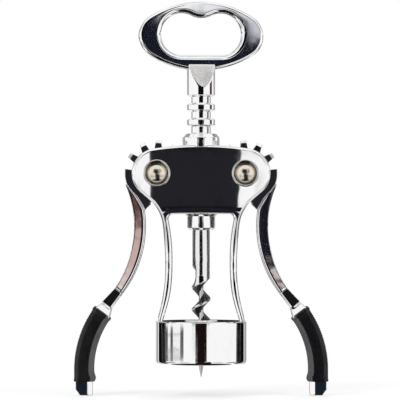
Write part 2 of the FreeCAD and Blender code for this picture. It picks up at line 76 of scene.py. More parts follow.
class Graph:
    def __init__(self, tree):
        self.tree = tree
        tree.nodes.clear()

    def add(self, kind, settings=None, sockets=None):
        node = self.tree.nodes.new(kind)
        for name, value in (settings or {}).items():
            setattr(node, name, value)
        for name, value in (sockets or {}).items():
            if isinstance(value, Wire):
                self.tree.links.new(value.socket, node.inputs[name])
            else:
                node.inputs[name].default_value = value
        return node

    def wire(self, kind, settings=None, sockets=None, output=0):
        return Wire(self, self.add(kind, settings, sockets).outputs[output])

    def split(self):
        # the three object coordinates
        parts = self.add("ShaderNodeSeparateXYZ", None, {0: self.place()})
        return [Wire(self, output) for output in parts.outputs]

    def mix(self, factor, first, second):
        return self.wire("ShaderNodeMix", {"data_type": "RGBA"}, {0: factor, 6: first, 7: second}, 2)

    def place(self, scale=(1, 1, 1), turn=(0, 0, 0)):
        where = self.wire("ShaderNodeTexCoord", output="Object")
        return self.wire("ShaderNodeMapping", None, {"Vector": where, "Scale": scale, "Rotation": turn})

    def noise(self, scale, detail=2.0, rough=0.5, stretch=(1, 1, 1), turn=(0, 0, 0)):
        sockets = {"Vector": self.place(stretch, turn), "Scale": scale, "Detail": detail, "Roughness": rough}
        return self.wire("ShaderNodeTexNoise", None, sockets)

    def bump(self, height, strength, distance, **normal):
        sockets = {"Height": height, "Strength": strength, "Distance": distance, **normal}
        return self.wire("ShaderNodeBump", None, sockets)

    def seenDirectly(self):
        # 1 where the background has to read as plain white
        rays = self.add("ShaderNodeLightPath")
        kinds = ("Is Camera Ray", "Is Glossy Ray", "Is Transmission Ray")
        camera, glossy, through = (Wire(self, rays.outputs[kind]) for kind in kinds)
        return camera + glossy + through > 0.5

    def surface(self, kind, sockets, output="Material"):
        # the tree's last shader and its output
        shader = self.wire("ShaderNode" + kind, None, sockets)
        self.add("ShaderNodeOutput" + output, None, {"Surface": shader})


def shade(*tone):
    # red, green and blue, or one value for a grey
    return (*(tone * 3)[:3], 1.0)


def newMaterial(name):
    material = bpy.data.materials.new(name)
    material.use_nodes = True
    return material, Graph(material.node_tree)


def metalFinish(name, bright, dull, polish, smear, ripple, scratch):
    # polished metal: a slow ripple from the casting, handling smears and hair scratches
    material, graph = newMaterial(name)
    slow = graph.noise(70.0)
    smears = graph.noise(160.0, 4.0, 0.6, (1, 1, 0.4), (0.3, 0.2, 0.1)).ramp(0.5, 0.78)
    hairOne = graph.noise(2600.0, 1.0, 0.5, (1, 1, 0.02), (0.2, 0.5, 0.4)).ramp(0.66, 0.72)
    hairTwo = graph.noise(2300.0, 1.0, 0.5, (0.02, 1, 1), (0.1, 0.7, 0.2)).ramp(0.67, 0.73)
    hair = (hairOne + hairTwo) * graph.noise(45.0, 1.0).ramp(0.45, 0.65)
    normal = graph.bump(slow, ripple, 0.0004)
    graph.surface("BsdfPrincipled", {
        "Base Color": graph.mix(smears * 0.5 + hair * 0.3, bright, dull), "Metallic": 1.0,
        "Roughness": polish + smears * smear + hair * scratch,
        "Normal": graph.bump(hair, 0.004, 0.00002, Normal=normal)})
    return material


def satinFinish():
    # light grey flat where the plating is dull and faintly grained
    material, graph = newMaterial("satin flat")
    grain = graph.noise(1500.0, 2.0, 0.5, (1, 1, 0.08))
    cloud = graph.noise(190.0, 3.0)
    pits = graph.noise(900.0).ramp(0.68, 0.76)
    colour = graph.mix(cloud.ramp(0.35, 0.7), shade(0.70, 0.68, 0.67), shade(0.56, 0.54, 0.53))
    graph.surface("BsdfPrincipled", {
        "Base Color": graph.mix(pits * 0.5, colour, shade(0.30, 0.29, 0.28)), "Metallic": 0.85,
        "Roughness": 0.30 + grain * 0.12, "Normal": graph.bump(grain, 0.10, 0.00002)})
    return material


def rubberFinish(name, clean, worn):
    # fine moulded grain, greyed where a hand rubs it
    material, graph = newMaterial(name)
    grain = graph.noise(3200.0, 3.0, 0.6)
    rubbed = graph.noise(120.0, 3.0, 0.5, (1, 1, 0.5)).ramp(0.45, 0.75)
    graph.surface("BsdfPrincipled", {
        "Base Color": graph.mix(rubbed, clean, worn), "Roughness": 0.24 + rubbed * 0.1 + grain * 0.06,
        "Normal": graph.bump(grain, 0.22, 0.00003), "Specular IOR Level": 0.35})
    return material


def plasticFinish():
    # off-white guide bush, with faint turning lines
    material, graph = newMaterial("guide plastic")
    lines = graph.noise(2600.0, 1.0, 0.5, (0.1, 0.1, 1))
    stain = graph.noise(200.0, 3.0).ramp(0.45, 0.75)
    graph.surface("BsdfPrincipled", {
        "Base Color": graph.mix(stain, shade(0.74, 0.73, 0.69), shade(0.62, 0.60, 0.54)),
        "Roughness": 0.38 + stain * 0.12, "Normal": graph.bump(lines, 0.15, 0.00003)})
    return material


# bright and dull tone, roughness, what smears add to it, ripple, what scratches add
chrome = metalFinish("chrome plate", shade(0.93), shade(0.84, 0.84, 0.85), 0.035, 0.04, 0.07, 0.02)
nickel = metalFinish("warm nickel", shade(0.80, 0.74, 0.63), shade(0.66, 0.60, 0.50), 0.19, 0.08, 0.08, 0.12)
steel = metalFinish("worm steel", shade(0.84), shade(0.70), 0.07, 0.08, 0.10, 0.16)
# groove flanks of the worm: dark steel, a duller finish with painted shade on top
flankShadeSteel = metalFinish("thread steel", shade(0.16, 0.165, 0.16), shade(0.10), 0.20, 0.12, 0.12, 0.16)
plainSteel = metalFinish("plain steel", shade(0.66), shade(0.52, 0.52, 0.51), 0.22, 0.12, 0.10, 0.2)
cupNickel = metalFinish("cup nickel", shade(0.88, 0.86, 0.82), shade(0.74, 0.72, 0.68), 0.07, 0.08, 0.08, 0.12)
panelChrome = metalFinish("sunk panel", shade(0.88, 0.86, 0.85), shade(0.74, 0.71, 0.70), 0.04, 0.03, 0.12, 0.06)
# walls and corners round the levers' sunk panels: near-black metal, painted shade in the recess
paintedCornerShade = metalFinish("dark corner", shade(0.035, 0.032, 0.032), shade(0.08, 0.07, 0.07), 0.25, 0.15, 0.1, 0.1)
# middle of the window's inner walls between the legs: darker metal, painted shade
shadedWindowMetal = metalFinish("cast wall", shade(0.26), shade(0.18), 0.30, 0.15, 0.15, 0.1)
satin = satinFinish()
rubber = rubberFinish("black rubber", shade(0.004, 0.004, 0.005), shade(0.011, 0.010, 0.010))
# grip chamfers towards the palm: lighter rubber that is a painted sheen
sheenPaintedRubber = rubberFinish("rubbed rubber", shade(0.075, 0.067, 0.070), shade(0.100, 0.090, 0.094))
plastic = plasticFinish()
print("stage: finishes")


def addObject(name, data):
    obj = bpy.data.objects.new(name, data)
    bpy.context.scene.collection.objects.link(obj)
    return obj


def newMesh(name, points, faces, materials=(), indexes=None, edges=()):
    mesh = bpy.data.meshes.new(name)
    mesh.from_pydata(points, edges, faces)
    for material in materials:
        mesh.materials.append(material)
    if indexes is not None:
        mesh.polygons.foreach_set("material_index", indexes)
    return mesh


def addPiece(name, points, faces, materials, indexes=None, sharp=32, lift=rimLift):
    # points in millimetres above the bell's rim; the object stays at the origin
    cloud = np.array(points, float)
    cloud[:, 2] += lift
    mesh = newMesh(name, (cloud * mm).tolist(), faces, materials, indexes)
    work = bmesh.new()
    work.from_mesh(mesh)
    bmesh.ops.remove_doubles(work, verts=work.verts, dist=mergeGap)
    bmesh.ops.dissolve_degenerate(work, edges=work.edges, dist=tinyEdge)
    bmesh.ops.recalc_face_normals(work, faces=work.faces)
    work.to_mesh(mesh)
    work.free()
    mesh.shade_smooth()
    if sharp:
        mesh.set_sharp_from_angle(angle=math.radians(sharp))
    return addObject(name, mesh)


def joined(*parts):
    points, faces = [], []
    for somePoints, someFaces in parts:
        shift = len(points)
        points += [tuple(p) for p in somePoints]
        faces += [tuple(i + shift for i in face) for face in someFaces]
    return points, faces


def skin(rows, closed=False):
    # quads over a stack of closed loops, with end caps; closed joins the last loop to the first instead
    rows = np.asarray(rows, float)
    count, across = rows.shape[:2]
    faces = []
    for i in range(count if closed else count - 1):
        low, high = i * across, (i + 1) % count * across
        for j in range(across):
            k = (j + 1) % across
            faces.append((low + j, low + k, high + k, high + j))
    if not closed:
        faces.append(tuple(range(across - 1, -1, -1)))
        faces.append(tuple(range((count - 1) * across, count * across)))
    return rows.reshape(-1, 3).tolist(), faces


def roundCorners(corners, steps=5, hold=0.12):
    # closed outline from (u, v, radius); a loop is held close beside each rounding
    points = []
    count = len(corners)
    for i, (u, v, radius) in enumerate(corners):
        here = np.array((u, v), float)
        if radius <= 0:
            points.append(here)
            continue
        back = np.array(corners[i - 1][:2], float) - here
        ahead = np.array(corners[(i + 1) % count][:2], float) - here
        roomBack, roomAhead = np.linalg.norm(back), np.linalg.norm(ahead)
        back /= roomBack
        ahead /= roomAhead
        half = math.acos(max(-1, min(1, float(back @ ahead)))) / 2
        cut = radius / math.tan(half)
        centre = here + (back + ahead) / np.linalg.norm(back + ahead) * radius / math.sin(half)
        first, last = here + back * cut, here + ahead * cut
        start, end = first - centre, last - centre
        sweep = math.pi - 2 * half
        if hold and cut + hold < roomBack * 0.7:
            points.append(first + back * hold)
        for k in range(steps + 1):
            t = k / steps
            spot = math.sin((1 - t) * sweep) * start + math.sin(t * sweep) * end
            points.append(centre + spot / math.sin(sweep))
        if hold and cut + hold < roomAhead * 0.7:
            points.append(last + ahead * hold)
    return points


def lathe(profile, around=96, centre=(0, 0, 0), axis="Z"):
    # profile of (radius, height) turned about an upright axis, or about one along Y
    rows = []
    for k in range(around):
        angle = 2 * math.pi * k / around
        c, s = math.cos(angle), math.sin(angle)
        if axis == "Z":
            rows.append([(centre[0] + r * c, centre[1] + r * s, centre[2] + h) for r, h in profile])
        else:
            rows.append([(centre[0] + r * c, centre[1] + h, centre[2] + r * s) for r, h in profile])
    return skin(rows, closed=True)


def turnedPiece(name, corners, finish, steps=4, hold=0.1, around=96):
    # a rounded profile turned about the upright axis
    return addPiece(name, *lathe(roundCorners(corners, steps, hold), around), [finish])


def spline(points, count):
    # natural cubic through points, spaced by chord length
    points = np.array(points, float)
    chord = np.r_[0, np.cumsum(np.linalg.norm(np.diff(points, axis=0), axis=1))]
    size = len(points)
    step = np.diff(chord)
    system = np.zeros((size, size))
    right = np.zeros((size, points.shape[1]))
    system[0, 0] = system[-1, -1] = 1
    for i in range(1, size - 1):
        system[i, i - 1:i + 2] = step[i - 1], 2 * (step[i - 1] + step[i]), step[i]
        right[i] = 6 * ((points[i + 1] - points[i]) / step[i] - (points[i] - points[i - 1]) / step[i - 1])
    bend = np.linalg.solve(system, right)
    result = []
    for s in np.linspace(0, chord[-1], count):
        i = min(size - 2, max(0, int(np.searchsorted(chord, s, side="right")) - 1))
        h, a, b = step[i], chord[i + 1] - s, s - chord[i]
        result.append(bend[i] * a ** 3 / (6 * h) + bend[i + 1] * b ** 3 / (6 * h)
                      + (points[i] / h - bend[i] * h / 6) * a + (points[i + 1] / h - bend[i + 1] * h / 6) * b)
    return np.array(result)


def arcPoints(x, z, radius, start, end, count):
    angles = np.radians(np.linspace(start, end, count))
    return np.stack([x + radius * np.cos(angles), z + radius * np.sin(angles)], 1)


def outward(loop):
    # unit normals of a closed outline, away from its inside
    ahead, back = np.roll(loop, -1, 0) - loop, loop - np.roll(loop, 1, 0)
    along = ahead / np.linalg.norm(ahead, axis=1)[:, None] + back / np.linalg.norm(back, axis=1)[:, None]
    along /= np.linalg.norm(along, axis=1)[:, None]
    area = np.sum(loop[:, 0] * np.roll(loop[:, 1], -1) - np.roll(loop[:, 0], -1) * loop[:, 1])
    return np.sign(area) * np.stack([along[:, 1], -along[:, 0]], 1)


def rimTurns(y, count):
    # angles over a rounded rim, from the front face to the side or from the side to the back face
    return np.radians(np.linspace(90, 0, count) if y < 0 else np.linspace(0, 90, count))


def between(value, low, high):
    return np.clip((np.asarray(value, float) - low) / (high - low), 0, 1)


def turned(points, degrees):
    turn = math.radians(degrees)
    c, s = math.cos(turn), math.sin(turn)
    return [(x * c - y * s, x * s + y * c, z) for x, y, z in points]


def dress(obj, body, *replaced):
    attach(obj, body)
    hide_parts(*replaced)
    return obj


def merged(name, *objects):
    # one mesh of several, which keeps their materials and their normals
    points, faces, indexes, corners, materials = [], [], [], [], []
    for obj in objects:
        mesh = obj.data
        shift = len(points)
        points += [tuple(v.co) for v in mesh.vertices]
        materials += [material for material in mesh.materials if material not in materials]
        for polygon in mesh.polygons:
            faces.append([i + shift for i in polygon.vertices])
            indexes.append(materials.index(mesh.materials[polygon.material_index]))
        corners += [tuple(n.vector) for n in mesh.corner_normals]
        bpy.data.objects.remove(obj)
    mesh = newMesh(name, points, faces, materials, indexes)
    mesh.shade_smooth()
    mesh.normals_split_custom_set(corners)
    return addObject(name, mesh)


def applied(obj):
    # the evaluated result as a plain mesh, with the modifiers gone
    bpy.context.view_layer.update()
    graph = bpy.context.evaluated_depsgraph_get()
    source = obj.evaluated_get(graph)
    mesh = bpy.data.meshes.new_from_object(source, preserve_all_data_layers=True, depsgraph=graph)
    obj.modifiers.clear()
    obj.data = mesh
    return obj


def copyTree(name, inputs, spread):
    # copies of an object on the points that spread gives, turned as it says
    tree = bpy.data.node_groups.new(name, "GeometryNodeTree")
    for label, kind in (("Source", "Object"), ("Finish", "Material"), *inputs):
        tree.interface.new_socket(label, in_out="INPUT", socket_type="NodeSocket" + kind)
    tree.interface.new_socket("Geometry", in_out="OUTPUT", socket_type="NodeSocketGeometry")
    graph = Graph(tree)
    given = graph.add("NodeGroupInput")
    pick = {socket.name: Wire(graph, socket) for socket in given.outputs if socket.name}
    points, turn = spread(graph, pick)
    source = graph.wire("GeometryNodeObjectInfo", None, {"Object": pick["Source"]}, "Geometry")
    copies = graph.wire("GeometryNodeInstanceOnPoints", None, {
        "Points": points, "Instance": source, "Rotation": turn})
    real = graph.wire("GeometryNodeRealizeInstances", None, {"Geometry": copies})
    done = graph.wire("GeometryNodeSetMaterial", None, {"Geometry": real, "Material": pick["Finish"]})
    graph.add("NodeGroupOutput", None, {0: done})
    return tree


def onLine(graph, pick):
    # each copy one step and one turn on from the last
    line = graph.wire("GeometryNodeMeshLine", {"mode": "OFFSET"}, {
        "Count": pick["Count"], "Start Location": pick["Start"], "Offset": pick["Step"]})
    index = graph.wire("GeometryNodeInputIndex")
    turn = graph.wire("ShaderNodeVectorMath", {"operation": "SCALE"}, {0: pick["Turn"], "Scale": index})
    turn = graph.wire("ShaderNodeVectorMath", {"operation": "ADD"}, {0: turn, 1: pick["First turn"]})
    return line, graph.wire("FunctionNodeEulerToRotation", None, {0: turn})


def onPath(graph, pick):
    # an even spacing along a curve, turned to its run
    path = graph.wire("GeometryNodeObjectInfo", None, {"Object": pick["Path"]}, "Geometry")
    curve = graph.wire("GeometryNodeMeshToCurve", None, {"Mesh": path})
    spots = graph.add("GeometryNodeCurveToPoints", {"mode": "LENGTH"}, {"Curve": curve, "Length": pick["Spacing"]})
    return [Wire(graph, spots.outputs[name]) for name in ("Points", "Rotation")]


vectors = [(label, "Vector") for label in ("Start", "Step", "First turn", "Turn")]
patternNodes = copyTree("patternTree", (("Count", "Int"), *vectors), onLine)
pathNodes = copyTree("pathTree", (("Path", "Object"), ("Spacing", "Float")), onPath)


def grown(name, tree, values):
    # runs a tree on an empty mesh; values go in by name, set through each socket's identifier
    obj = addObject(name, bpy.data.meshes.new(name))
    modifier = obj.modifiers.new(name, "NODES")
    modifier.node_group = tree
    for item in tree.interface.items_tree:
        if item.in_out == "INPUT" and item.name in values:
            modifier[item.identifier] = values[item.name]
    return applied(obj)


def repeated(source, name, count, finish, step=(0, 0, 0), start=(0, 0, 0), firstTurn=(0, 0, 0), turn=(0, 0, 0)):
    obj = grown(name, patternNodes, {"Source": source, "Count": count, "Finish": finish, "Start": start,
                                     "Step": step, "First turn": firstTurn, "Turn": turn})
    bpy.data.objects.remove(source)
    return obj


handle = Spec(width=52.8, height=28.9, endRadius=9.5, centre=137.4, thick=4.0, outerRound=1.2, innerRound=1.92,
              mouthWidth=34.0, mouthHeight=17.4, mouthRise=0.7, tongue=2.0, crown=0.003, turn=9.5,
              endSteps=52, tongueSteps=20, baseSteps=26,
              stemRadius=5.9, stemFoot=111.895, footRadius=4.1, footRise=0.8, footRound=0.18,
              flatTop=125.5, flatLength=9.5, flatProud=0.3, topRound=0.45, edge=0.22)


def ringMouth(s):
    # outline of the opening, with the tongue in its upper side
    middle = s.centre + s.mouthRise
    radius = s.mouthHeight / 2
    side = s.mouthWidth / 2 - radius
    dip = radius - s.tongue
    tongueRadius = (side ** 2 + dip ** 2 - radius ** 2) / (2 * s.tongue)
    join = math.degrees(math.atan2(dip + tongueRadius, -side))
    right = arcPoints(side, middle, radius, -90, join, s.endSteps)
    tongue = arcPoints(0, middle + dip + tongueRadius, tongueRadius, join - 180, -join, s.tongueSteps)
    left = arcPoints(-side, middle, radius, 180 - join, 270, s.endSteps)
    base = np.stack([np.linspace(-side, side, s.baseSteps), np.full(s.baseSteps, middle - radius)], 1)
    return np.concatenate([right[:-1], tongue[:-1], left[:-1], base[:-1]])


def ringRim(s, mouth):
    # outline of the oval, one point beyond each point of the mouth
    wide, high, end = s.width / 2, s.height / 2, s.endRadius
    endX = wide - end
    sideRadius = (endX ** 2 + high ** 2 - end ** 2) / (2 * (high - end))
    meet = math.degrees(math.atan2(sideRadius - high, endX))
    quarter = np.concatenate([arcPoints(endX, 0, end, 0, meet, 30)[:-1],
                              arcPoints(0, high - sideRadius, sideRadius, meet, 90, 40)])
    half = np.concatenate([quarter[:-1], (quarter * (-1, 1))[::-1]])
    oval = np.concatenate([half[:-1], (half * (1, -1))[::-1][:-1]])
    ovalAngle = np.unwrap(np.arctan2(oval[:, 1], oval[:, 0]))
    ovalRadius = np.hypot(oval[:, 0], oval[:, 1])
    angle = np.arctan2(mouth[:, 1] - s.centre, mouth[:, 0]) % (2 * math.pi)
    reach = np.interp(angle, np.r_[ovalAngle, ovalAngle[0] + 2 * math.pi], np.r_[ovalRadius, ovalRadius[0]])
    return np.stack([reach * np.cos(angle), s.centre + reach * np.sin(angle)], 1)


def handleRing(s):
    mouth = ringMouth(s)
    rim = ringRim(s, mouth)
    halfThick, big, small = s.thick / 2, s.innerRound, s.outerRound
    rows = []
    for o, on, m, mn in zip(rim, outward(rim), mouth, outward(mouth)):
        front = [(o - on * small * (1 - math.cos(t)), halfThick - small + small * math.sin(t))
                 for t in rimTurns(1, 6)]
        start, stop = o - on * small, m + mn * big
        front += [(start + (stop - start) * t, halfThick + s.crown * 4 * t * (1 - t))
                  for t in (0.04, 0.2, 0.4, 0.6, 0.8, 0.96)]
        front += [(m + mn * big * (1 - math.cos(t)), halfThick - big + big * math.sin(t))
                  for t in rimTurns(-1, 8)]
        rows.append([(p[0], -y, p[1]) for p, y in front] + [(p[0], y, p[1]) for p, y in reversed(front)])
    return skin(rows, closed=True)


def handleStem(s):
    # round below, with a flat on both faces that slopes inwards as it rises
    radius, half = s.stemRadius, s.thick / 2 + s.flatProud
    start, foot, top = s.flatTop - s.flatLength, s.stemFoot, s.flatTop - s.topRound
    levels = [(foot, s.footRadius), (foot + s.footRise * 0.85, radius - s.footRound),
              (foot + s.footRise + 0.1, radius)]
    levels += [(z, radius) for z in [*np.linspace(foot + 1.3, start, 6), *np.linspace(start + 0.1, top, 26)]]
    levels += [(top + s.topRound * math.sin(t), radius - s.topRound * (1 - math.cos(t)))
               for t in np.radians([20, 45, 70, 90])]
    rows, finishes = [], []
    across, over = 9, 25  # points over a flat and over a rounded side
    for i, (z, r) in enumerate(levels):
        share = max(0.0, (z - start) / s.flatLength)
        deep = radius - (radius - half) * share - (radius - r if z > start else 0)
        deep = min(deep, r * 0.99999)
        wide = math.sqrt(max(r * r - deep * deep, 1e-6))
        edge = min(s.edge, wide * 0.4)
        flat = [(x, -deep) for x in np.linspace(-(wide - edge), wide - edge, across)]
        lean = math.asin(min(1, wide / r)) + edge * 0.7 / r
        side = [(r * math.sin(a), -r * math.cos(a)) for a in np.linspace(lean, math.pi - lean, over)]
        rows.append([(x * way, y * way, z) for way in (1, -1) for x, y in flat + side])
        onFlat = share > 0.002 and i < len(levels) - 5
        if i < len(levels) - 1:
            finishes += ([int(onFlat)] * (across - 1) + [0] * (over + 1)) * 2
    return *skin(rows), finishes + [0, 0]


def openerHandle(s):
    ringPoints, ringFaces = handleRing(s)
    stemPoints, stemFaces, stemSatin = handleStem(s)
    points, faces = joined((ringPoints, ringFaces), (stemPoints, stemFaces))
    finishes = [0] * len(ringFaces) + stemSatin
    obj = addPiece("openerHandle", turned(points, s.turn), faces, [chrome, satin], finishes, sharp=28)
    dress(obj, "spindle", "opener_handle")


rack = Spec(radius=5.9, bore=5.98, root=4.1, end=56.1, bevel=1.0, firstGroove=72.947, pitch=6.2832, count=7,
            floor=2.5, mouth=4.103, spigot=117.395, edge=0.22, rootRound=0.15, footRound=0.25)


def rackSpindle(s):
    # rod up to the first groove, then one ring between two grooves, repeated
    floor, mouth, nextGroove = s.floor / 2, s.mouth / 2, s.firstGroove + s.pitch
    rod = turnedPiece("rackSpindle", [
        (0, s.end, 0), (s.radius - s.bevel, s.end, s.footRound), (s.radius, s.end + s.bevel, s.footRound),
        (s.radius, s.firstGroove - mouth, s.edge), (s.root, s.firstGroove - floor, s.rootRound),
        (s.root, s.spigot, 0), (0, s.spigot, 0)], chrome)
    ring = turnedPiece("rackRing", [
        (s.root - 0.5, s.firstGroove + floor, 0), (s.root, s.firstGroove + floor, s.rootRound),
        (s.radius, s.firstGroove + mouth, s.edge), (s.radius, nextGroove - mouth, s.edge),
        (s.root, nextGroove - floor, s.rootRound), (s.root - 0.5, nextGroove - floor, 0)], chrome)
    rings = repeated(ring, "rackRings", s.count - 1, chrome, (0, 0, s.pitch * mm))
    dress(merged("rackSpindle", rod, rings), "spindle", "rack_spindle")


worm = Spec(radius=4.0, core=0.95, pitch=9.2, crest=0.55, floor=3.2, point=-5.65, top=41.6, shank=3.7,
            shankEnd=68.1, taperTop=7.0, spikeTop=0.05, spikeRadius=1.1, tip=0.12, runOut=37.9, fade=1.5,
            turn=9.5, rise=0.22, groundFrom=0.12, groundTo=0.97, spikeEdge=0.02)


def wormScrew(s):
    # a straight core with a spiral groove about it; each level is the same section, turned on
    crest, floor = s.crest / s.pitch * 180, s.floor / s.pitch * 180
    phases = np.concatenate([
        np.linspace(-crest, crest, 5)[:-1], [crest + 3], np.linspace(crest + 7, 180 - floor, 14),
        np.linspace(180 - floor, 180 + floor, 22)[1:-1], np.linspace(180 + floor, 353 - crest, 14), [357 - crest]])
    away = np.abs((phases + 180) % 360 - 180)  # degrees from the blade's crest
    deep = between(away, crest, 180 - floor)
    levels = np.concatenate([
        [s.point], np.linspace(s.point + 0.3, s.spikeTop, 14)[:-1], np.arange(s.spikeTop, s.top + 0.01, s.rise),
        [s.top + 2], np.linspace(s.top + 6, s.shankEnd, 3)])
    rows, shadedFlanks = [], []
    for z in levels:
        grooveHeight = z + (phases - 180) / 360 * s.pitch  # where the groove's middle passes this side
        cut = deep * between(s.runOut - grooveHeight, 0, s.fade)
        outside = s.radius - (s.radius - s.shank) * between(z, s.top - s.pitch, s.top - s.pitch / 2)
        cap = s.tip + (s.spikeRadius - s.tip) * between(z, s.point, s.spikeTop)
        if z > s.spikeTop:
            cap = s.spikeRadius + (s.radius - s.spikeRadius) * between(z, s.spikeTop, s.taperTop)
        radius = np.minimum(outside - (outside - s.core) * cut, cap)
        angle = np.radians(phases + 360 * (min(z, s.top) / s.pitch) + s.turn)
        rows.append(np.stack([radius * np.cos(angle), radius * np.sin(angle), np.full(len(phases), z)], 1))
        # flanks between crest and core take the dark steel, which paints their shade
        shadedFlanks.append((cut > s.groundFrom) & (cut < s.groundTo) & (radius < cap - s.spikeEdge))
    shadedFlanks = np.array(shadedFlanks[:-1]) & np.array(shadedFlanks[1:])
    finishes = [int(spot and s.spikeTop < z) for z, row in zip(levels, shadedFlanks) for spot in row] + [0, 0]
    obj = addPiece("wormScrew", *skin(rows), [steel, flankShadeSteel], finishes, sharp=38)
    dress(obj, "spindle", "worm")


bush = Spec(bore=5.98, radius=7.75, seat=90.888, height=5.6, bevel=1.6, wall=1.3, spigot=2.2)


def neckBush(s):
    top, socket = s.seat + s.height, s.bore + s.wall
    obj = turnedPiece("neckBush", [
        (s.bore, s.seat - s.spigot, 0), (socket, s.seat - s.spigot, 0), (socket, s.seat, 0),
        (s.radius, s.seat, 0.1), (s.radius, top - s.bevel, 0.5), (s.bore + s.wall / 3, top, 0.2),
        (s.bore, top, 0.1)], chrome, 4, 0.12)
    dress(obj, "neck_bush", "neck_bush")


guide = Spec(hole=4.5, flange=9.4, flangeThick=1.2, spigot=6.8, roof=14.0, top=18.3, lip=0.3)


def wormGuide(s):
    foot = s.roof - s.flangeThick
    obj = turnedPiece("wormGuide", [
        (s.hole, foot, 0.1), (s.flange, foot, 0.2), (s.flange, s.roof, 0), (s.spigot, s.roof, 0),
        (s.spigot, s.top, 0.15), (s.hole + s.lip, s.top, 0.1), (s.hole, s.top - s.lip, 0.1)], plastic, 3, 0.12)
    dress(obj, "frame", "worm_guide")


pivot = Spec(spread=18.5, height=79.9, seat=7.465, cupRadius=5.65, cupWall=0.75, cupHeight=1.9, cupFloor=0.4,
             cupRim=0.36, domeRadius=4.3, domeHeight=1.9, pinRadius=2.5, capBore=2.53, capDepth=0.98)


def pivots(s):
    # cups and domed ends, both measured outwards from the head's face and turned about an axis along Y
    inner, seat = s.cupRadius - s.cupWall, s.seat + s.cupFloor
    cup = roundCorners([
        (s.pinRadius, 0, 0), (s.cupRadius, 0, 0), (s.cupRadius, s.cupHeight, s.cupRim),
        (inner, s.cupHeight, s.cupRim), (inner, s.cupFloor, 0.15), (s.pinRadius, s.cupFloor, 0)], 5, 0.1)
    ball = (s.domeRadius ** 2 + s.domeHeight ** 2) / (2 * s.domeHeight)
    dome = [(ball * math.sin(a), s.domeHeight - ball + ball * math.cos(a))
            for a in np.linspace(math.asin(s.domeRadius / ball), 0, 14)]
    pin = [(0, seat), (s.pinRadius, seat), (s.pinRadius, -seat), (s.domeRadius, -seat)]
    cap = [(0, seat + s.capDepth), (s.capBore, seat + s.capDepth), (s.capBore, seat), (s.domeRadius, seat)]
    parts = (("CupFront", "_front_cup", cupNickel, [(r, -s.seat - h) for r, h in cup]),
             ("CupBack", "_back_cup", cupNickel, [(r, s.seat + h) for r, h in cup]),
             ("PivotPin", "_pivot_pin", nickel, pin + [(r, -seat - h) for r, h in dome]),
             ("PinCap", "_pin_cap", nickel, cap + [(r, seat + h) for r, h in dome]))
    for name, side in (("left", -1), ("right", 1)):
        for part, node, finish, profile in parts:
            obj = addPiece(name + part, *lathe(profile, centre=(side * s.spread, 0, s.height), axis="Y"), [finish])
            dress(obj, "frame", name + node)


casting = Spec(spread=18.5, pivot=79.9, lobe=10.4, crownRise=1.4, halfHead=9.0, faceRadius=190.0, rounding=1.2,
               legRounding=1.42, shoulder=41.0, slotHalf=4.85, slotRadius=14.3, windowTop=62.8, windowCorner=2.2,
               waist=15.0, legWidth=3.0, halfLeg=5.2, halfFoot=6.8, foot=16.0, bellRadius=19.1, envelope=18.7,
               lobeHeight=11.8, legShares=((1.0, 1.147), (0.87, 1.045), (0.66, 1.0), (0.47, 1.06)), windowSink=1.4,
               blend=0.3, slopeStep=0.05, legTop=1.08, legFade=10.0, cutStep=1.3, cutReach=27.3)


def legLine(s, inset, low):
    # edge of a leg from the head down; shares of the window's height and of the waist's half width
    line = [(s.waist * wide - inset, s.windowTop * high) for high, wide in s.legShares]
    return line + [(s.bellRadius - inset, low)]


def castingOutline(s):
    # outline of head and legs, from the top's middle clockwise
    top = s.pivot + s.lobeHeight
    crown = (s.spread ** 2 + s.lobeHeight ** 2 - s.lobe ** 2) / (2 * s.crownRise)
    lean = math.degrees(math.atan2(s.pivot - top + crown, s.spread))
    end = s.shoulder - 90
    leave = arcPoints(s.spread, s.pivot, s.lobe, end, end, 1)[0]
    leg = legLine(s, 0, s.foot)
    drop = (leave[1] - leg[0][1]) * 0.5
    shoulderEnd = (leave[0] - drop / math.tan(math.radians(s.shoulder)), leave[1] - drop)
    right = np.concatenate([
        arcPoints(0, top - crown, crown, 90, lean, 34)[:-1],
        arcPoints(s.spread, s.pivot, s.lobe, lean, end, 56)[:-1],
        np.linspace(leave, shoulderEnd, 9)[:-1],
        spline([shoulderEnd] + leg, 90)])
    base = np.stack([np.linspace(right[-1, 0], -right[-1, 0], 30)[1:-1], np.full(28, s.foot)], 1)
    return np.concatenate([right, base, (right * (-1, 1))[::-1][:-1]])


def windowOutline(s):
    # outline of the opening between the legs
    side = spline(legLine(s, s.legWidth, s.bellRadius - s.windowSink), 110)
    corner = side[0]
    side = side[np.hypot(*(side - corner).T) > s.windowCorner * 1.25]
    half = [(x, z, 0) for x, z in side[::-1]] + [(corner[0], corner[1], s.windowCorner)]
    other = [(-x, z, r) for x, z, r in reversed(half)]
    loop = np.array(roundCorners(half + other, 7, 0.0))
    top = loop[:, 1] > corner[1] - 0.001
    first = int(np.where(top & (loop[:, 0] > 0))[0].min())
    across = np.stack([np.linspace(loop[first, 0], -loop[first, 0], 30)[1:-1], np.full(28, corner[1])], 1)
    return np.concatenate([loop[:first + 1], across, loop[first + 1:]])


legProfile = spline(((casting.foot, casting.halfFoot), (casting.windowTop * 0.62, casting.halfLeg),
                     (casting.windowTop * 0.85, casting.halfLeg * 0.75 + casting.halfHead * 0.25),
                     (casting.windowTop * 1.03, casting.halfHead + 0.3)), 200)


def halfDepth(s, x, z):
    # distance of the front face from the middle plane, with its slopes in x and z
    def value(x, z):
        crown = s.halfHead - s.faceRadius + np.sqrt(s.faceRadius ** 2 - x ** 2)
        leg = np.interp(z, legProfile[:, 0], legProfile[:, 1]) + np.maximum(z - s.windowTop * 1.03, 0)
        return -s.blend * np.logaddexp(-crown / s.blend, -leg / s.blend)
    step, depth = s.slopeStep, value(x, z)
    return depth, (value(x + step, z) - depth) / step, (value(x, z + step) - depth) / step


rimSteps = 8  # rows over a rounded rim; the next two rows are the edges of the gear slots
plainFace, slotFace, frontFace, backFace, windowWall = range(5)


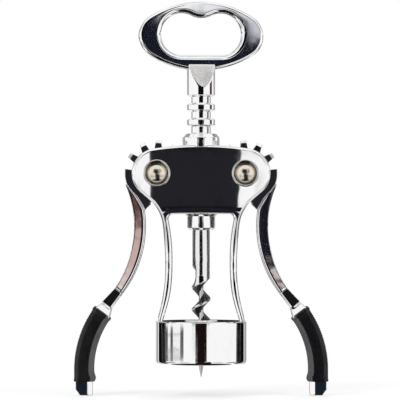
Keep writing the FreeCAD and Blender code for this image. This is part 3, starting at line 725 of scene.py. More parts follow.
def wallRows(s, loop, out):
    # points and normals from the front face round to the back face
    legs = between(s.windowTop * s.legTop - loop[:, 1], 0, s.legFade)
    radius = s.rounding + (s.legRounding - s.rounding) * legs
    wall = np.stack([out[:, 0], np.zeros(len(loop)), out[:, 1]], 1)
    rows, normals = [], []
    for y in (-1, 1):
        for t in rimTurns(y, rimSteps):
            spot = loop - out * (radius * (1 - math.cos(t)))[:, None]
            depth, slopeX, slopeZ = halfDepth(s, spot[:, 0], spot[:, 1])
            face = np.stack([-slopeX, np.full(len(loop), y, float), -slopeZ], 1)
            face /= np.linalg.norm(face, axis=1)[:, None]
            rows.append(np.stack([spot[:, 0], y * (depth - radius + radius * math.sin(t)), spot[:, 1]], 1))
            normals.append(wall * math.cos(t) + face * math.sin(t))
        if y < 0:
            reach = np.minimum(s.slotHalf, (halfDepth(s, loop[:, 0], loop[:, 1])[0] - radius) * 0.8)
            rows += [np.stack([loop[:, 0], toward * reach, loop[:, 1]], 1) for toward in (-1, 1)]
            normals += [wall, wall]
    rows = np.array(rows)
    low = (rows[:, :, 2] < s.windowTop / 2) & (np.hypot(rows[:, :, 0], rows[:, :, 1]) > s.envelope)
    fitted = np.sqrt(np.maximum(s.envelope ** 2 - rows[:, :, 1] ** 2, 0)) * np.sign(rows[:, :, 0])
    rows[:, :, 0] = np.where(low, fitted, rows[:, :, 0])  # the legs' feet stay inside the bell
    return rows, np.array(normals)


def castingWalls(s, made):
    # walls of the outline and of the window; gives their rims on both faces and the gaps for the slots
    rims, slots = [], []
    for loop, window in ((castingOutline(s), False), (windowOutline(s), True)):
        rows, normals = wallRows(s, loop, outward(loop) * (-1 if window else 1))
        start, across = len(made.points), len(loop)
        made.points += rows.reshape(-1, 3).tolist()
        made.normals += normals.reshape(-1, 3).tolist()
        rims.append([range(start, start + across), range(len(made.points) - across, len(made.points))])
        gap = np.zeros(across, bool)
        for side in () if window else (-1, 1):
            near = np.hypot(loop[:, 0] - side * s.spread, loop[:, 1] - s.pivot) < s.slotRadius
            near &= loop[:, 0] * side > 2
            gap |= near
            slots.append((side, np.where(near)[0], start + rimSteps * across, across))
        for i in range(len(rows) - 1):
            for j in range(across):
                k = (j + 1) % across
                if i == rimSteps and gap[j] and gap[k]:
                    continue
                base = start + i * across
                # the window wall's middle rows, which take the painted shade
                wall = window and abs(i - rimSteps) <= 1 and max(loop[j, 1], loop[k, 1]) < s.windowTop - 0.1
                made.faces.append((base + j, base + k, base + across + k, base + across + j))
                made.kinds.append(windowWall if wall else plainFace)
    return rims, slots


def gearSlot(s, made, side, order, front, across):
    # cheeks and floor of the slot that a lever's teeth turn in
    breaks = np.where(np.diff(order) > 1)[0]
    if len(breaks):
        order = np.r_[order[breaks[0] + 1:], order[:breaks[0] + 1]]
    inward = 180 if side > 0 else 0
    limits = []
    for i in (-1, 0):
        x, z = np.array(made.points[front + order[i]])[[0, 2]] - (side * s.spread, s.pivot)
        limits.append((math.degrees(math.atan2(z, x)) - inward + 180) % 360 - 180 + inward)
    arc = arcPoints(side * s.spread, s.pivot, s.slotRadius, *limits, 40)[1:-1]
    rims = []
    for base, y in ((front, -s.slotHalf), (front + across, s.slotHalf)):
        begin = len(made.points)
        made.points += [(x, y, z) for x, z in arc]
        made.normals += [(0, 1, 0)] * len(arc)
        rims.append([base + int(i) for i in order] + list(range(begin, begin + len(arc))))
        made.faces.append(rims[-1])
    for i in range(len(order) - 1, len(rims[0])):
        k = (i + 1) % len(rims[0])
        made.faces.append((rims[0][i], rims[0][k], rims[1][k], rims[1][i]))
    made.kinds += [slotFace] * (len(made.faces) - len(made.kinds))


def broadFaces(s, made, rims):
    # filled between the two outlines, then cut so that they can bulge
    work = bmesh.new()
    verts = [work.verts.new(p) for p in made.points]
    tag = work.faces.layers.int.new("kind")
    for corners, kind in zip(made.faces, made.kinds):
        work.faces.new([verts[i] for i in corners])[tag] = kind
    cuts = [((x, 0, 0), (1, 0, 0)) for x in np.arange(-s.cutReach, s.cutReach + 0.1, s.cutStep)]
    cuts += [((0, 0, z), (0, 0, 1)) for z in np.r_[np.arange(18, 62, 2.5), np.arange(62, 70, 0.8)]]
    for y, kind in ((-1, frontFace), (1, backFace)):
        edges = []
        for sides in rims:
            ring = [verts[i] for i in sides[y > 0]]
            for pair in zip(ring, ring[1:] + ring[:1]):
                edges.append(work.edges.get(pair) or work.edges.new(pair))
        filled = bmesh.ops.triangle_fill(work, edges=edges, use_beauty=True, normal=(0, y, 0))["geom"]
        for part in filled:
            if isinstance(part, bmesh.types.BMFace):
                part[tag] = kind
        for spot, way in cuts:
            broad = [f for f in work.faces if f[tag] == kind]
            parts = [*broad, *(e for f in broad for e in f.edges), *(v for f in broad for v in f.verts)]
            parts = list(dict.fromkeys(parts))
            bmesh.ops.bisect_plane(work, geom=parts, dist=1e-5, plane_co=spot, plane_no=way)
    return work, tag


def castingPiece(s):
    made = Spec(points=[], normals=[], faces=[], kinds=[])
    rims, slots = castingWalls(s, made)
    for slot in slots:
        gearSlot(s, made, *slot)
    work, tag = broadFaces(s, made, rims)
    normals = made.normals
    for v in list(work.verts)[len(normals):]:  # the cuts' points move out to the crowned face
        y = -1 if v.co.y < 0 else 1
        depth, slopeX, slopeZ = (float(part[0]) for part in halfDepth(s, np.array([v.co.x]), np.array([v.co.z])))
        v.co.y = y * depth
        normals.append((-slopeX, y, -slopeZ))
    for v in work.verts:
        v.co = Vector((v.co.x, v.co.y, v.co.z + rimLift)) * mm
    bmesh.ops.recalc_face_normals(work, faces=work.faces)
    kinds = [f[tag] for f in work.faces]
    mesh = newMesh("castingHead", [], [], [chrome, shadedWindowMetal])
    work.to_mesh(mesh)
    work.free()
    # the window's walls get the darker metal, which paints their shade
    mesh.polygons.foreach_set("material_index", [int(kind == windowWall) for kind in kinds])
    mesh.shade_smooth()
    corners = [None] * len(mesh.loops)
    for polygon, kind in zip(mesh.polygons, kinds):
        for i in polygon.loop_indices:
            smooth = Vector(normals[mesh.loops[i].vertex_index]).normalized()
            corners[i] = tuple(polygon.normal if kind == slotFace else smooth)
    return bored(addObject("castingHead", mesh), corners, bores)


def keepNormals(mesh, corners):
    mesh.attributes.new("wanted", "FLOAT_VECTOR", "CORNER").data.foreach_set("vector", np.ravel(corners))


bores = Spec(low=56.0, high=96.0, shaft=5.98, socket=7.33, socketFoot=88.64, seat=90.888, collar=9.15,
             spot=5.7, spotSeat=7.465, spotEnd=12.0)


def bored(obj, corners, s):
    # shaft bore, bush seat and spot-faces for the cups, cut with the normals carried along
    spread, pivotAt = casting.spread, casting.pivot
    parts = [lathe([(0, s.low), (s.shaft, s.low), (s.shaft, s.socketFoot), (s.socket, s.socketFoot),
                    (s.socket, s.seat), (s.collar, s.seat), (s.collar, s.high), (0, s.high)])]
    for x in (-spread, spread):
        for y in (-1, 1):
            spot = [(0, y * s.spotSeat), (s.spot, y * s.spotSeat), (s.spot, y * s.spotEnd), (0, y * s.spotEnd)]
            parts.append(lathe(spot, centre=(x, 0, pivotAt), axis="Y"))
    cutter = addPiece("bores", *joined(*parts), [chrome])
    keepNormals(obj.data, corners)
    wanted = []
    for polygon in cutter.data.polygons:
        upright = abs(polygon.center.x) < spread * mm / 2
        flat = abs(polygon.normal.z if upright else polygon.normal.y) > 0.5
        for i in polygon.vertices:
            x, y, z = cutter.data.vertices[i].co
            aside = (math.copysign(spread * mm, x) - x, 0, (pivotAt + rimLift) * mm - z)
            wanted.append((0, 0, 0) if flat else (-x, -y, 0) if upright else aside)  # 0 for the face's own normal
    keepNormals(cutter.data, wanted)
    cut = obj.modifiers.new("bores", "BOOLEAN")
    cut.operation = "DIFFERENCE"
    cut.solver = "EXACT"
    cut.object = cutter
    applied(obj)
    bpy.data.objects.remove(cutter)
    mesh = obj.data
    normals = np.zeros(len(mesh.loops) * 3)
    mesh.attributes["wanted"].data.foreach_get("vector", normals)
    normals = normals.reshape(-1, 3)
    for polygon in mesh.polygons:
        for i in polygon.loop_indices:
            size = float(np.linalg.norm(normals[i]))
            normals[i] = normals[i] / size if size > 1e-6 else polygon.normal
    mesh.attributes.remove(mesh.attributes["wanted"])
    mesh.shade_smooth()
    mesh.normals_split_custom_set(normals.tolist())
    return obj


bell = Spec(radius=19.095, height=18.0, wall=3.3, roof=4.0, edge=1.5, shoulder=0.4, hole=6.83, bevel=0.4,
            bossRadius=6.9, bossHeight=0.9, bossTip=6.2, bossAt=62.8)


def frameCasting(s):
    bore, roof, shoulder = s.radius - s.wall, s.height - s.roof, s.height - s.shoulder
    cup = turnedPiece("bellCup", [
        (s.hole, roof, 0.1), (bore, roof, 0.6), (bore, s.bevel, 0.1), (bore + s.bevel, 0, 0.1),
        (s.radius, 0, s.edge), (s.radius, shoulder, 0.2), (s.radius - s.shoulder, s.height, 0.2),
        (s.hole, s.height, 0.15)], chrome, 7, 0.15, 144)
    low, high = s.bossAt - s.bossHeight, s.bossAt + s.bossHeight
    boss = turnedPiece("boss", [(rack.bore, high, 0), (rack.bore, low, 0), (s.bossTip, low, 0.15),
                                (s.bossRadius, s.bossAt, 0.3), (s.bossRadius, high, 0)], chrome)
    dress(merged("frameCasting", castingPiece(casting), cup, boss), "frame", "frame")


lever = Spec(pivotX=18.5, pivotZ=79.9, half=4.5, hub=10.6, rim=13.5, rimStart=172.0, rimEnd=258.4, boreRadius=2.55,
             toothTip=2.25, toothBase=3.2, toothReach=13.9, toothFoot=9.4, teeth=6, firstTooth=-3.2,
             toothTurn=30.0,
             width=4.1, inset=6.7, drop=22.0, bend=45.0, heel=-8.0, neck=-24.0, splay=37.0, swell=0.8, meet=200.0,
             beadLine=((-10.6, -7.5), (-8.5, -9.7), (-6.8, -12.3)), beadSteps=361, stripEvery=12, armSteps=151,
             tipChamfer=1.3, tipBack=1.0, panelDepth=1.0, outerRim=0.28, innerRim=1.0,
             padStart=0.2, padLength=7.6, padOuter=3.0, padProud=0.5, bolsterLength=3.4,
             gripBend=40.0, gripTail=5.1, tabLength=5.7, tabHalf=3.6, tabBevel=1.9, tabEdge=0.22, tabRoot=-3.0)
bolsterRows = (  # share of its length, half depth, inner and outer edge
    (-0.6, 3.4, -2.0, 2.3), (0.0, 3.45, -2.0, 2.6), (0.08, 3.6, -2.2, 2.9), (0.9, 5.0, -3.35, 3.4),
    (0.97, 5.15, -3.45, 3.48), (1.03, 5.2, -3.5, 3.5), (1.2, 5.2, -3.5, 3.5))
panel = Spec(across=8.5, down=16.5,  # then share and depth below the top, over the rim and over the bead
             rim=((0, 0.8), (0.1, 0.3), (0.4, 0.08), (0.7, 0), (1, 0.01)),
             bead=((0, 0.14), (0.2, 0.03), (0.5, 0), (0.75, 0.1), (0.93, 0.35), (1, 0.8)))
grip = Spec(halfWidth=4.2, halfDepth=6.0, bevel=1.6, innerBevel=2.3, edge=0.45, end=0.6, lip=0.25, heel=0.7,
            lipAt=0.9, lipSpread=0.7, heelAt=1.4, heelSpread=1.6, rows=60,
            ribSpacing=1.0, ribRadius=0.24, ribHalf=3.9, ribSink=0.2, ribEnd=0.3)
halfWidth, padEnd = lever.width / 2, lever.padStart + lever.padLength


def armPoint(offset, degrees):
    s = lever
    a = math.radians(-degrees)
    r = s.bend - offset
    return np.array((-s.inset - s.bend + r * math.cos(a), -s.drop + r * math.sin(a)))


def straightPoint(along, offset):
    c, s = math.cos(math.radians(lever.splay)), math.sin(math.radians(lever.splay))
    return armPoint(0, lever.splay) + along * np.array((-s, -c)) + offset * np.array((-c, s))


def gripPoint(offset, degrees):
    start = straightPoint(padEnd + lever.bolsterLength, 0)
    splay, a = math.radians(lever.splay), math.radians(degrees)
    centre = start + lever.gripBend * np.array((math.cos(splay), -math.sin(splay)))
    return centre + (lever.gripBend + offset) * np.array((-math.cos(a), math.sin(a)))


def tailPoint(offset, low):
    return gripPoint(offset, 0) - (0, low)


def slab(outline, half, rounding=0.25, steps=3):
    # plate of an outline with its rims rounded; a loop is held inside each face
    loop = np.array(outline, float)
    out = outward(loop)
    held = loop - out * (rounding + 0.1)
    rows = [[(x, -half, z) for x, z in held]]
    for y in (-1, 1):
        for t in rimTurns(y, steps + 1):
            deep = y * (half - rounding + rounding * math.sin(t))
            rows.append([(x, deep, z) for x, z in loop - out * rounding * (1 - math.cos(t))])
    return skin(rows + [[(x, half, z) for x, z in held]])


def stack(front, hold=0.15):
    # solid through outlines of equal length, each at its own depth, alike on both faces
    layers = [(-y, loop) for y, loop in front] + [(y, loop) for y, loop in reversed(front)]
    layers = [(y, np.array(outline, float)) for y, outline in layers]
    for place, at in ((0, 0), (-1, len(layers) + 1)):
        y, outline = layers[place]
        inward = outline.mean(0) - outline
        layers.insert(at, (y, outline + inward * hold / np.linalg.norm(inward, axis=1)[:, None]))
    return skin([[(x, y, z) for x, z in outline] for y, outline in layers])


def armRow(outer, inner, half, sink, bead):
    # one section of the arm from its outer to its inner edge, both faces
    wide = float(np.linalg.norm(inner - outer))
    across = (inner - outer) / wide
    left, right = min(lever.outerRim, wide * 0.15), wide - min(bead, wide * 0.25)
    room = right - left
    wall, rise = min(0.12, room * 0.06), room * 0.24
    begin, stop = left + wall * 1.6, right - rise
    bottom, bead = half - sink, wide - right
    front = [(left * share, half - low) for share, low in panel.rim] + [(left + wall, bottom + sink * 0.3)]
    front += [(begin + (stop - begin) * share, bottom) for share in (0, 0.25, 0.5, 0.75, 1.0)]
    front += [(right - rise * 0.55, bottom + sink * 0.12), (right - rise * 0.2, bottom + sink * 0.5)]
    front += [(right + bead * share, half - low) for share, low in panel.bead]
    row = [(*(outer + across * d), y) for d, y in front]
    return [(x, -y, z) for x, z, y in row] + [(x, y, z) for x, z, y in reversed(row)]


def beadCurve():
    # inner edge of the arm's upper end, which runs out over the hub's strip
    s = lever
    meet, heel = math.radians(s.meet), armPoint(-halfWidth, s.heel)
    points = [(s.rim * math.cos(meet), s.rim * math.sin(meet)), *s.beadLine, tuple(heel),
              tuple(armPoint(-halfWidth, s.heel + 5))]
    curve = spline(points, s.beadSteps)
    last = int(np.argmin(np.hypot(*(curve - heel).T)))
    return curve[:last + 1]


def leverArm():
    # finishes: 1 for the floor of the sunk panel, 2 for the corners round it, which carry painted shade
    s = lever
    bead = beadCurve()
    rows, sunk = [], []
    for a in np.linspace(s.neck, s.splay, s.armSteps):
        outer = armPoint(halfWidth + s.swell * float(between(s.splay - a, 0, 22)), a)
        share = float(between(a, s.neck, s.heel))
        inner = armPoint(-halfWidth, a) if a >= s.heel else bead[int(round(share * (len(bead) - 1)))]
        sink = s.panelDepth * float(between(share, 0.03, 0.2)) * float(between(s.splay + 0.5 - a, 0, 1.2))
        rows.append(armRow(outer, inner, s.half, max(sink, 0.02), s.innerRim * (0.5 + 0.5 * share)))
        sunk.append(sink > 0.25)
    across = len(rows[0])
    # sections 4, 5, 10 and 11 are the walls round the panel's floor and take the painted shade
    finishOf = {4: 2, 5: 2, 6: 1, 7: 1, 8: 1, 9: 1, 10: 2, 11: 2}
    section = [finishOf.get(min(j, across - 2 - j), 0) for j in range(across)]
    finishes = []
    for one, two in zip(sunk, sunk[1:]):
        finishes += section if one and two else [0] * across
    return *skin(rows), finishes + [0, 0]


def hubStrip():
    # rim strip beside the lobe and the web below it, level with the hub
    s = lever
    end = math.radians(s.rimEnd)
    arc = arcPoints(0, 0, s.rim, s.rimStart, s.meet, 16)
    outline = [(0, 0), *arc[:-1], *beadCurve()[::s.stripEvery], armPoint(-halfWidth, s.heel),
               (s.rim * math.cos(end), s.rim * math.sin(end))]
    return slab(outline, s.half - 0.05, 0.22)


def leverBolster():
    rows = []
    for share, half, low, high in bolsterRows:
        along = padEnd + lever.bolsterLength * share
        corners = [(high, half, 0.7), (high, -half, 0.7), (low, -half, 0.7), (low, half, 0.7)]
        spots = [(*straightPoint(along, u), v) for u, v in roundCorners(corners, 4, 0.1)]
        rows.append([(x, y, z) for x, z, y in spots])
    return skin(rows)


def leverPad():
    s = lever

    def outline(shrink, inner):
        spots = ((s.padStart + shrink, -halfWidth + inner), (s.padStart + shrink, halfWidth - shrink),
                 (padEnd, s.padOuter - shrink), (padEnd, -halfWidth + inner))
        return roundCorners([(*straightPoint(*spot), 0.3) for spot in spots], 3, 0.0)
    top = s.half + s.padProud
    return stack([(top, outline(0.2, 1.0)), (top - 0.06, outline(0.08, 0.8)), (top - 0.3, outline(0.0, 0.4)),
                  (top - 0.9, outline(0.0, 0.0))])


def leverTab():
    # end of the tang: outer lower corner cut off, inner edges chamfered
    s = lever
    half, tab, cut, length, edge = s.half, s.tabHalf, s.tabBevel, s.tabLength, s.tabEdge

    def outline(inner, shrink):
        corners = [(tab - shrink, s.tabRoot, 0), (tab - shrink, length - 1.4 * cut, 0.35),
                   (tab - cut, length - shrink, 0.35), (inner + shrink, length - shrink, 0.3),
                   (inner + shrink, s.tabRoot, 0)]
        return [tailPoint(u, s.gripTail + low) for u, low in roundCorners(corners, 4, 0)]
    return stack([(half, outline(-tab + cut, edge)), (half - edge * 0.3, outline(-tab + cut * 0.92, edge * 0.3)),
                  (half - edge, outline(-tab + cut - edge, 0.0)), (half - cut, outline(-tab, 0.0))])


def toothMesh():
    # tip chamfered on both faces
    s = lever

    def outline(reach, shrink=0.0):
        base, tip = s.toothBase / 2 - shrink, s.toothTip / 2 - shrink
        tip += (base - tip) * (s.toothReach - reach) / (s.toothReach - s.hub)
        side = [(s.toothFoot, base, 0), (s.hub, base, 0.2), (reach, tip, 0.3)]
        return roundCorners([(u, -v, r) for u, v, r in side] + side[::-1], 3, 0.0)
    short = s.toothReach - s.tipChamfer
    return stack([(s.half, outline(short, 0.12)), (s.half - 0.1, outline(short + 0.1)),
                  (s.half - s.tipBack, outline(s.toothReach))])


def atPivot(points, side):
    return [(side * (lever.pivotX - x), y, lever.pivotZ + z) for x, y, z in points]


def tiltPanels(obj, side):
    # the sunk panels' faces are cast with a draft, outwards and down
    corners = [n.vector.copy() for n in obj.data.corner_normals]
    lean = Vector((side * math.sin(math.radians(panel.across)), 0, -math.sin(math.radians(panel.down))))
    for polygon in obj.data.polygons:
        if polygon.material_index == 1:
            n = polygon.normal
            for i in polygon.loop_indices:
                corners[i] = (n + lean).normalized() if abs(n.y) > 0.5 else n
    obj.data.normals_split_custom_set([tuple(n) for n in corners])


def levers(s):
    hub = [(s.boreRadius, -s.half, 0.2), (s.hub, -s.half, 0.3), (s.hub, s.half, 0.3), (s.boreRadius, s.half, 0.2)]
    hub = lathe(roundCorners(hub, 3, 0.1), axis="Y")
    *arm, finishes = leverArm()
    points, faces = joined(arm, hub, hubStrip(), leverPad(), leverBolster(), leverTab())
    finishes += [0] * (len(faces) - len(finishes))
    for name, side in (("left", -1), ("right", 1)):
        metals = [chrome, panelChrome, paintedCornerShade]
        body = addPiece(name + "Lever", atPivot(points, side), faces, metals, finishes, sharp=34)
        tiltPanels(body, side)
        tooth = addPiece("tooth", *toothMesh(), [chrome], lift=0)
        if side > 0:
            tooth.data.transform(Matrix.Scale(-1, 4, (1, 0, 0)))
            tooth.data.flip_normals()
        first, step = (math.radians(turn) * side for turn in (s.firstTooth, s.toothTurn))
        start = (side * s.pivotX * mm, 0, (s.pivotZ + rimLift) * mm)
        teeth = repeated(tooth, name + "Teeth", s.teeth, chrome, start=start,
                         firstTurn=(0, first, 0), turn=(0, step, 0))
        dress(merged(name + "LeverBody", body, teeth), name + "_lever", name + "_lever")


def gripRows(g):
    # sections along the sleeve, each by the function that places it and its angle or length
    stations = [(gripPoint, a) for a in np.linspace(lever.splay, 0, 40)]
    stations += [(tailPoint, d) for d in np.linspace(0, lever.gripTail, 9)[1:]]
    spots = np.array([place(0, a) for place, a in stations])
    run = np.r_[0, np.cumsum(np.linalg.norm(np.diff(spots, axis=0), axis=1))]
    length = float(run[-1])

    def row(distance, inset):
        i = max(0, min(len(run) - 2, int(np.searchsorted(run, distance)) - 1))
        share = (distance - run[i]) / (run[i + 1] - run[i])
        lip = g.lip * math.exp(-((distance - g.lipAt) / g.lipSpread) ** 2)
        heel = g.heel * math.exp(-((length - distance - g.heelAt) / g.heelSpread) ** 2)
        deep = g.halfDepth + lip * 0.6 - inset
        outer = g.halfWidth + lip - inset
        inner = outer + heel
        outer -= g.ribSink * float(between(distance, 1.6, 2.2) * between(length - distance, 1.0, 1.6))
        face = [(outer, deep - g.bevel), (outer - g.bevel, deep), (-inner + g.innerBevel, deep),
                (-inner, deep - g.innerBevel)]
        corners = [(u, v, g.edge) for u, v in face + [(u, -v) for u, v in reversed(face)]]
        points = []
        for u, v in roundCorners(corners, 4, 0.0):
            (x, z), (nextX, nextZ) = (place(u, a) for place, a in stations[i:i + 2])
            points.append((x + (nextX - x) * share, v, z + (nextZ - z) * share))
        return points

    marks = [(0.0, 1.0), (0.08, 0.62), (0.25, 0.26), (0.5, 0.04)]  # distance from an end, share of its rounding
    rows = [row(d, g.end * k) for d, k in marks]
    rows += [row(d, 0.0) for d in np.linspace(0.8, length - 0.8, g.rows)]
    return rows + [row(length - d, g.end * k * 0.6) for d, k in reversed(marks)]


def gripRibs(name, side, g):
    offset = g.halfWidth - g.ribRadius - 0.02
    spots = [gripPoint(offset, a) for a in np.linspace(lever.splay - 3.5, 0, 40)]
    spots += [tailPoint(offset, d) for d in np.linspace(0, lever.gripTail - 2.0, 6)[1:]]
    points = np.array(atPivot([(x, 0, z) for x, z in spots], side)) + (0, 0, rimLift)
    edges = [(i, i + 1) for i in range(len(points) - 1)]
    path = addObject(name + "Path", newMesh(name + "Path", (points * mm).tolist(), [], edges=edges))
    section = [(g.ribRadius * math.cos(a), g.ribRadius * math.sin(a)) for a in np.linspace(0, 2 * math.pi, 9)[:-1]]
    ends = ((-g.ribHalf, 0.3), (-g.ribHalf + g.ribEnd, 1), (g.ribHalf - g.ribEnd, 1), (g.ribHalf, 0.3))
    rib = addPiece("rib", *skin([[(x, u * k, v * k) for u, v in section] for x, k in ends]), [rubber], lift=0)
    values = {"Path": path, "Source": rib, "Spacing": g.ribSpacing * mm, "Finish": rubber}
    ribs = grown(name + "Ribs", pathNodes, values)
    bpy.data.objects.remove(path)
    bpy.data.objects.remove(rib)
    return ribs


def grips(g):
    rows = gripRows(g)
    points, faces = skin(rows)
    across = len(rows[0])
    finishes = [int(i % across in (14, 24)) for i in range(len(faces) - 2)] + [0, 0]  # chamfers towards the palm, lighter: a painted sheen
    for name, side in (("left", -1), ("right", 1)):
        rubbers = [rubber, sheenPaintedRubber]
        sleeve = addPiece(name + "Sleeve", atPivot(points, side), faces, rubbers, finishes, sharp=0)
        dress(merged(name + "Grip", sleeve, gripRibs(name, side, g)), name + "_lever", name + "_grip")


print("stage: handle, spindle and worm")
openerHandle(handle)
rackSpindle(rack)
wormScrew(worm)
neckBush(bush)
wormGuide(guide)
pivots(pivot)
print("stage: frame casting")
frameCasting(bell)
print("stage: levers and grips")
levers(lever)
grips(grip)
for node in ("worm_pin", "left_hub_washers", "right_hub_washers"):
    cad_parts[node].data.materials.clear()
    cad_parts[node].data.materials.append(plainSteel)
print("stage: pieces")


# what polished metal mirrors, in degrees: azimuth from the front towards +X, height, tone,
# then a soft rim, a slant and the tones that follow lower down, where there are any
cardAway, cardCentre = 3.0, 0.09
black, brown, dusk, pale = (0.004, 0.004, 0.005), (0.012, 0.010, 0.010), (0.10, 0.10, 0.11), (0.28, 0.28, 0.30)
surroundings = (
    ("tab_front", (-9, 9), (-9, -4.3), (0.010, 0.016, 0.026)),
    ("bell_front", (-14.5, 14.0), (-4.3, -2.95), (0.010, 0.005, 0.004)),
    ("rod_front", (-23, 21), (-2.95, -0.6), (0.009, 0.009, 0.011)),
    ("head_front", (-14.0, 10.0), (-0.6, 1.2), (0.018, 0.018, 0.022), 0.0, 1.3),
    ("stem_front", (-24, 21), (1.2, 4.5), black),
    ("dome_front", (-29, 33), (4.5, 34), black),
    ("dome_foot", (-15, 19), (-66, -9), (0.017, 0.011, 0.010)),
    ("bell_left", (-136, -109), (-40, -2.4), black),
    ("bell_right", (110, 139), (-40, -2.4), black),
    ("rod_left", (-158, -88), (-2.4, -0.5), (0.02, 0.022, 0.02)),
    ("rod_right", (88, 158), (-2.4, -0.5), (0.02, 0.022, 0.02)),
    ("stem_left", (-142, -122), (-0.6, 60), (0.30, 0.30, 0.31)),
    ("stem_right", (124, 142), (-0.6, 60), (0.22, 0.22, 0.23)),
    ("right_brown", (76, 100), (1.2, 6), (0.07, 0.02, 0.015)),
    ("low_left", (-24, -14.5), (-37.5, -28), (0.09, 0.036, 0.034), 0.0, 0.0,
     (((0.62, 0.46, 0.44), -1.492, -1.462), ((1, 1, 1), -1.545, -1.528))),
    ("low_right", (14.5, 24), (-37.5, -28), (0.90, 0.82, 0.78)),
    ("floor_left", (-64, -25), (-40, -9), (0.40, 0.41, 0.42), 0.4),
    ("floor_right", (25, 64), (-40, -9), (0.40, 0.41, 0.42), 0.4),
    ("side_right_low", (66, 114), (-34, -12), dusk, 0.3),
    ("side_right_high", (66, 114), (12, 48), pale, 0.3),
    ("side_left_low", (-114, -66), (-34, -12), dusk, 0.3),
    ("side_left_high", (-114, -66), (12, 48), pale, 0.3),
    ("back_left", (200, 222), (-40, 60), (0.36, 0.37, 0.38), 0.2),
    ("back_right", (138, 168), (-40, 60), (0.36, 0.37, 0.38), 0.2),
    ("back_bell", (174, 187), (-9, -2.95), brown),
    ("back_rod", (171, 188), (-2.95, -0.6), (0.02, 0.02, 0.02)),
    ("back_head", (171, 188), (-0.6, 1.2), (0.022, 0.022, 0.026), 0.0, 1.5),
    ("back_stem", (175, 185), (1.2, 30), (0.012, 0.012, 0.012)),
    ("back_ring", (190, 199.0), (1.2, 9), (0.02, 0.02, 0.03), 0.0, 1.2),
    ("overhead", (-180, 180), (76, 90), (0.38, 0.39, 0.41), 0.5),
    ("below", (-180, 180), (-89, -48), brown),
)


def emitter(name, tone, soft, lower):
    # each lower tone comes with the heights between which it takes over
    material, graph = newMaterial(name)
    colour = shade(*tone)
    for nextTone, low, high in lower:
        colour = graph.mix(graph.split()[2].ramp(low, high), shade(*nextTone), colour)
    if soft:  # fades to white at its rim
        inside = graph.wire("ShaderNodeAttribute", {"attribute_name": "inside"}, output=2)
        colour = graph.mix(inside, shade(1), colour)
    graph.surface("Emission", {"Color": colour})
    return material


def cardObject(name, points, faces, material):
    # seen only in reflections
    obj = addObject(name, newMesh(name, points, faces, [material]))
    obj.visible_camera = obj.visible_diffuse = obj.visible_shadow = obj.visible_transmission = False
    return obj


def card(name, azimuth, height, tone, soft=0.0, slant=0.0, lower=()):
    points, inside = [], []
    circle = azimuth[1] - azimuth[0] == 360
    columns, levels = 61 if circle else 13, 9
    for share in np.linspace(0, 1, levels):
        lean = math.radians(height[0] + (height[1] - height[0]) * share)
        for across in np.linspace(0, 1, columns):
            turn = math.radians(azimuth[0] + (azimuth[1] + slant * share - azimuth[0]) * across)
            points.append((cardAway * math.sin(turn) * math.cos(lean), -cardAway * math.cos(turn) * math.cos(lean),
                           cardCentre + cardAway * math.sin(lean)))
            rim = share if circle else min(share, 1 - share, across, 1 - across)
            inside.append(min(1.0, rim / soft) if soft else 1.0)
    corners = [i * columns + j for i in range(levels - 1) for j in range(columns - 1)]
    faces = [(a, a + 1, a + 1 + columns, a + columns) for a in corners]
    obj = cardObject(name, points, faces, emitter(name, tone, soft, lower))
    obj.data.attributes.new("inside", "FLOAT", "POINT").data.foreach_set("value", inside)


windowCard = Spec(posts=((-102, -93), (-84, -76), (-54, -45)), rungs=((-3.44, -3.36), (-3.86, -3.78)),
                  wide=(-102, -45), height=(-3.95, -3.1), tone=(0.09, 0.09, 0.085))
ringCard = Spec(azimuth=19.0, away=1.0, line=0.2069, slope=0.065, leftEdge=-0.031, leftSoft=0.002, leftDrop=0.06,
                rightEdge=0.0316, fall=2.6, drop=0.0105, soft=0.0025, softRight=0.004,
                rows=((-0.06, 0.26, -1.3), (-0.06, 0.16, -0.573), (-0.06, 0.157, -0.565), (-0.06, 0.09, -0.06),
                      (-0.085, 0.085, 0.13), (-0.085, 0.085, 0.26), (-0.07, 0.07, 0.262), (-0.07, 0.16, 0.95)))


def ringBoard(s):
    # board in front of the opener's face: dark below a slanting edge, pale above it; a quad for every two rows
    turn = math.radians(s.azimuth)
    material, graph = newMaterial("ring board")
    x, y, z = graph.split()
    along = x * math.cos(turn) + y * math.sin(turn)
    leftPart = along.ramp(s.leftEdge - s.leftSoft, s.leftEdge + s.leftSoft) * s.leftDrop
    above = z - s.line + along * s.slope + leftPart - s.leftDrop
    above = above + ((along - s.rightEdge).math("MAXIMUM", 0.0) * s.fall).math("MINIMUM", s.drop)
    soft = along.ramp(0.0, 0.04) * (s.softRight - s.soft) + s.soft
    sky = graph.mix(along.ramp(-0.02, 0.05), shade(0.93, 0.94, 0.95), shade(0.58, 0.60, 0.66))
    colour = graph.mix((above / soft).ramp(-0.5, 1.0), shade(0.009, 0.010, 0.018), sky)
    graph.surface("Emission", {"Color": colour})
    points = [(s.away * math.sin(turn) + u * math.cos(turn), -s.away * math.cos(turn) + u * math.sin(turn), z)
              for low, high, z in s.rows for u in (low, high)]
    cardObject("ring_board", points, [(i, i + 1, i + 3, i + 2) for i in range(0, len(points), 4)], material)


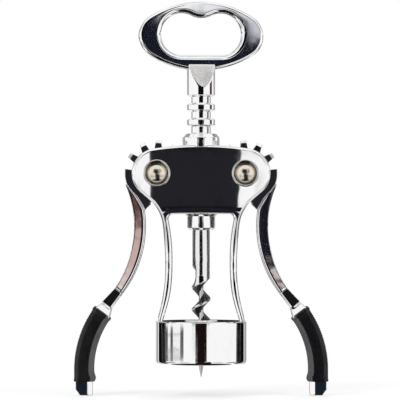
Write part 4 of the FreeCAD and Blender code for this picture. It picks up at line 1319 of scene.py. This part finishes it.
for name, *values in surroundings:
    card(name + "_card", *values)
ringBoard(ringCard)
for i, post in enumerate(windowCard.posts):
    card("window_post_%d" % i, post, windowCard.height, windowCard.tone)
for i, rung in enumerate(windowCard.rungs):
    card("window_rung_%d" % i, windowCard.wide, rung, windowCard.tone)


def paleFloor(half, low):
    # plain to the camera and in glossy rays, apart from the object's shadow near the middle
    material, graph = newMaterial("pale floor")
    seen = graph.seenDirectly()
    matte = graph.wire("ShaderNodeBsdfDiffuse", None, {"Color": shade(0.86)})
    glow = graph.wire("ShaderNodeEmission", None, {"Color": shade(1)})
    away = graph.wire("ShaderNodeVectorMath", {"operation": "LENGTH"}, {0: graph.place()}, "Value")
    graph.surface("MixShader", {0: seen * (0.6 + away.ramp(0.10, 0.42) * 0.4), 1: matte, 2: glow})
    points = [(-half, -half, low), (half, -half, low), (half, half, low), (-half, half, low)]
    floor = addObject("floor", newMesh("floor", points, [(0, 1, 2, 3)], [material]))
    floor.visible_glossy = False


def paleWorld():
    world = bpy.data.worlds.new("studio")
    bpy.context.scene.world = world
    world.use_nodes = True
    graph = Graph(world.node_tree)
    colour = graph.mix(graph.seenDirectly(), shade(0.62, 0.63, 0.65), shade(1))
    graph.surface("Background", {"Color": colour}, "World")


def softLamp(name, spot, size, power, aim=(0, 0, 0.08)):
    lamp = bpy.data.lights.new(name, "AREA")
    lamp.shape, lamp.size, lamp.energy = "DISK", size, power
    obj = addObject(name, lamp)
    obj.location = spot
    obj.rotation_euler = (Vector(aim) - Vector(spot)).to_track_quat("-Z", "Y").to_euler()
    obj.visible_glossy = False


paleFloor(6.0, -0.0002)
paleWorld()
softLamp("keyLamp", (-0.7, -0.9, 1.1), 0.7, 11)
softLamp("fillLamp", (0.9, -0.6, 0.7), 0.8, 6)
softLamp("backLamp", (0.2, 1.0, 0.9), 0.8, 5)

lens = bpy.data.cameras.new("camera")
lens.lens, lens.sensor_width, lens.clip_start, lens.clip_end = 322, 36, 0.1, 20
camera = addObject("camera", lens)
camera.location = (-0.00046, -1.5, 0.0817)
camera.rotation_euler = (math.radians(90), 0, 0)
bpy.context.scene.camera = camera
bpy.context.scene.view_settings.view_transform = "Standard"
print("stage: studio")
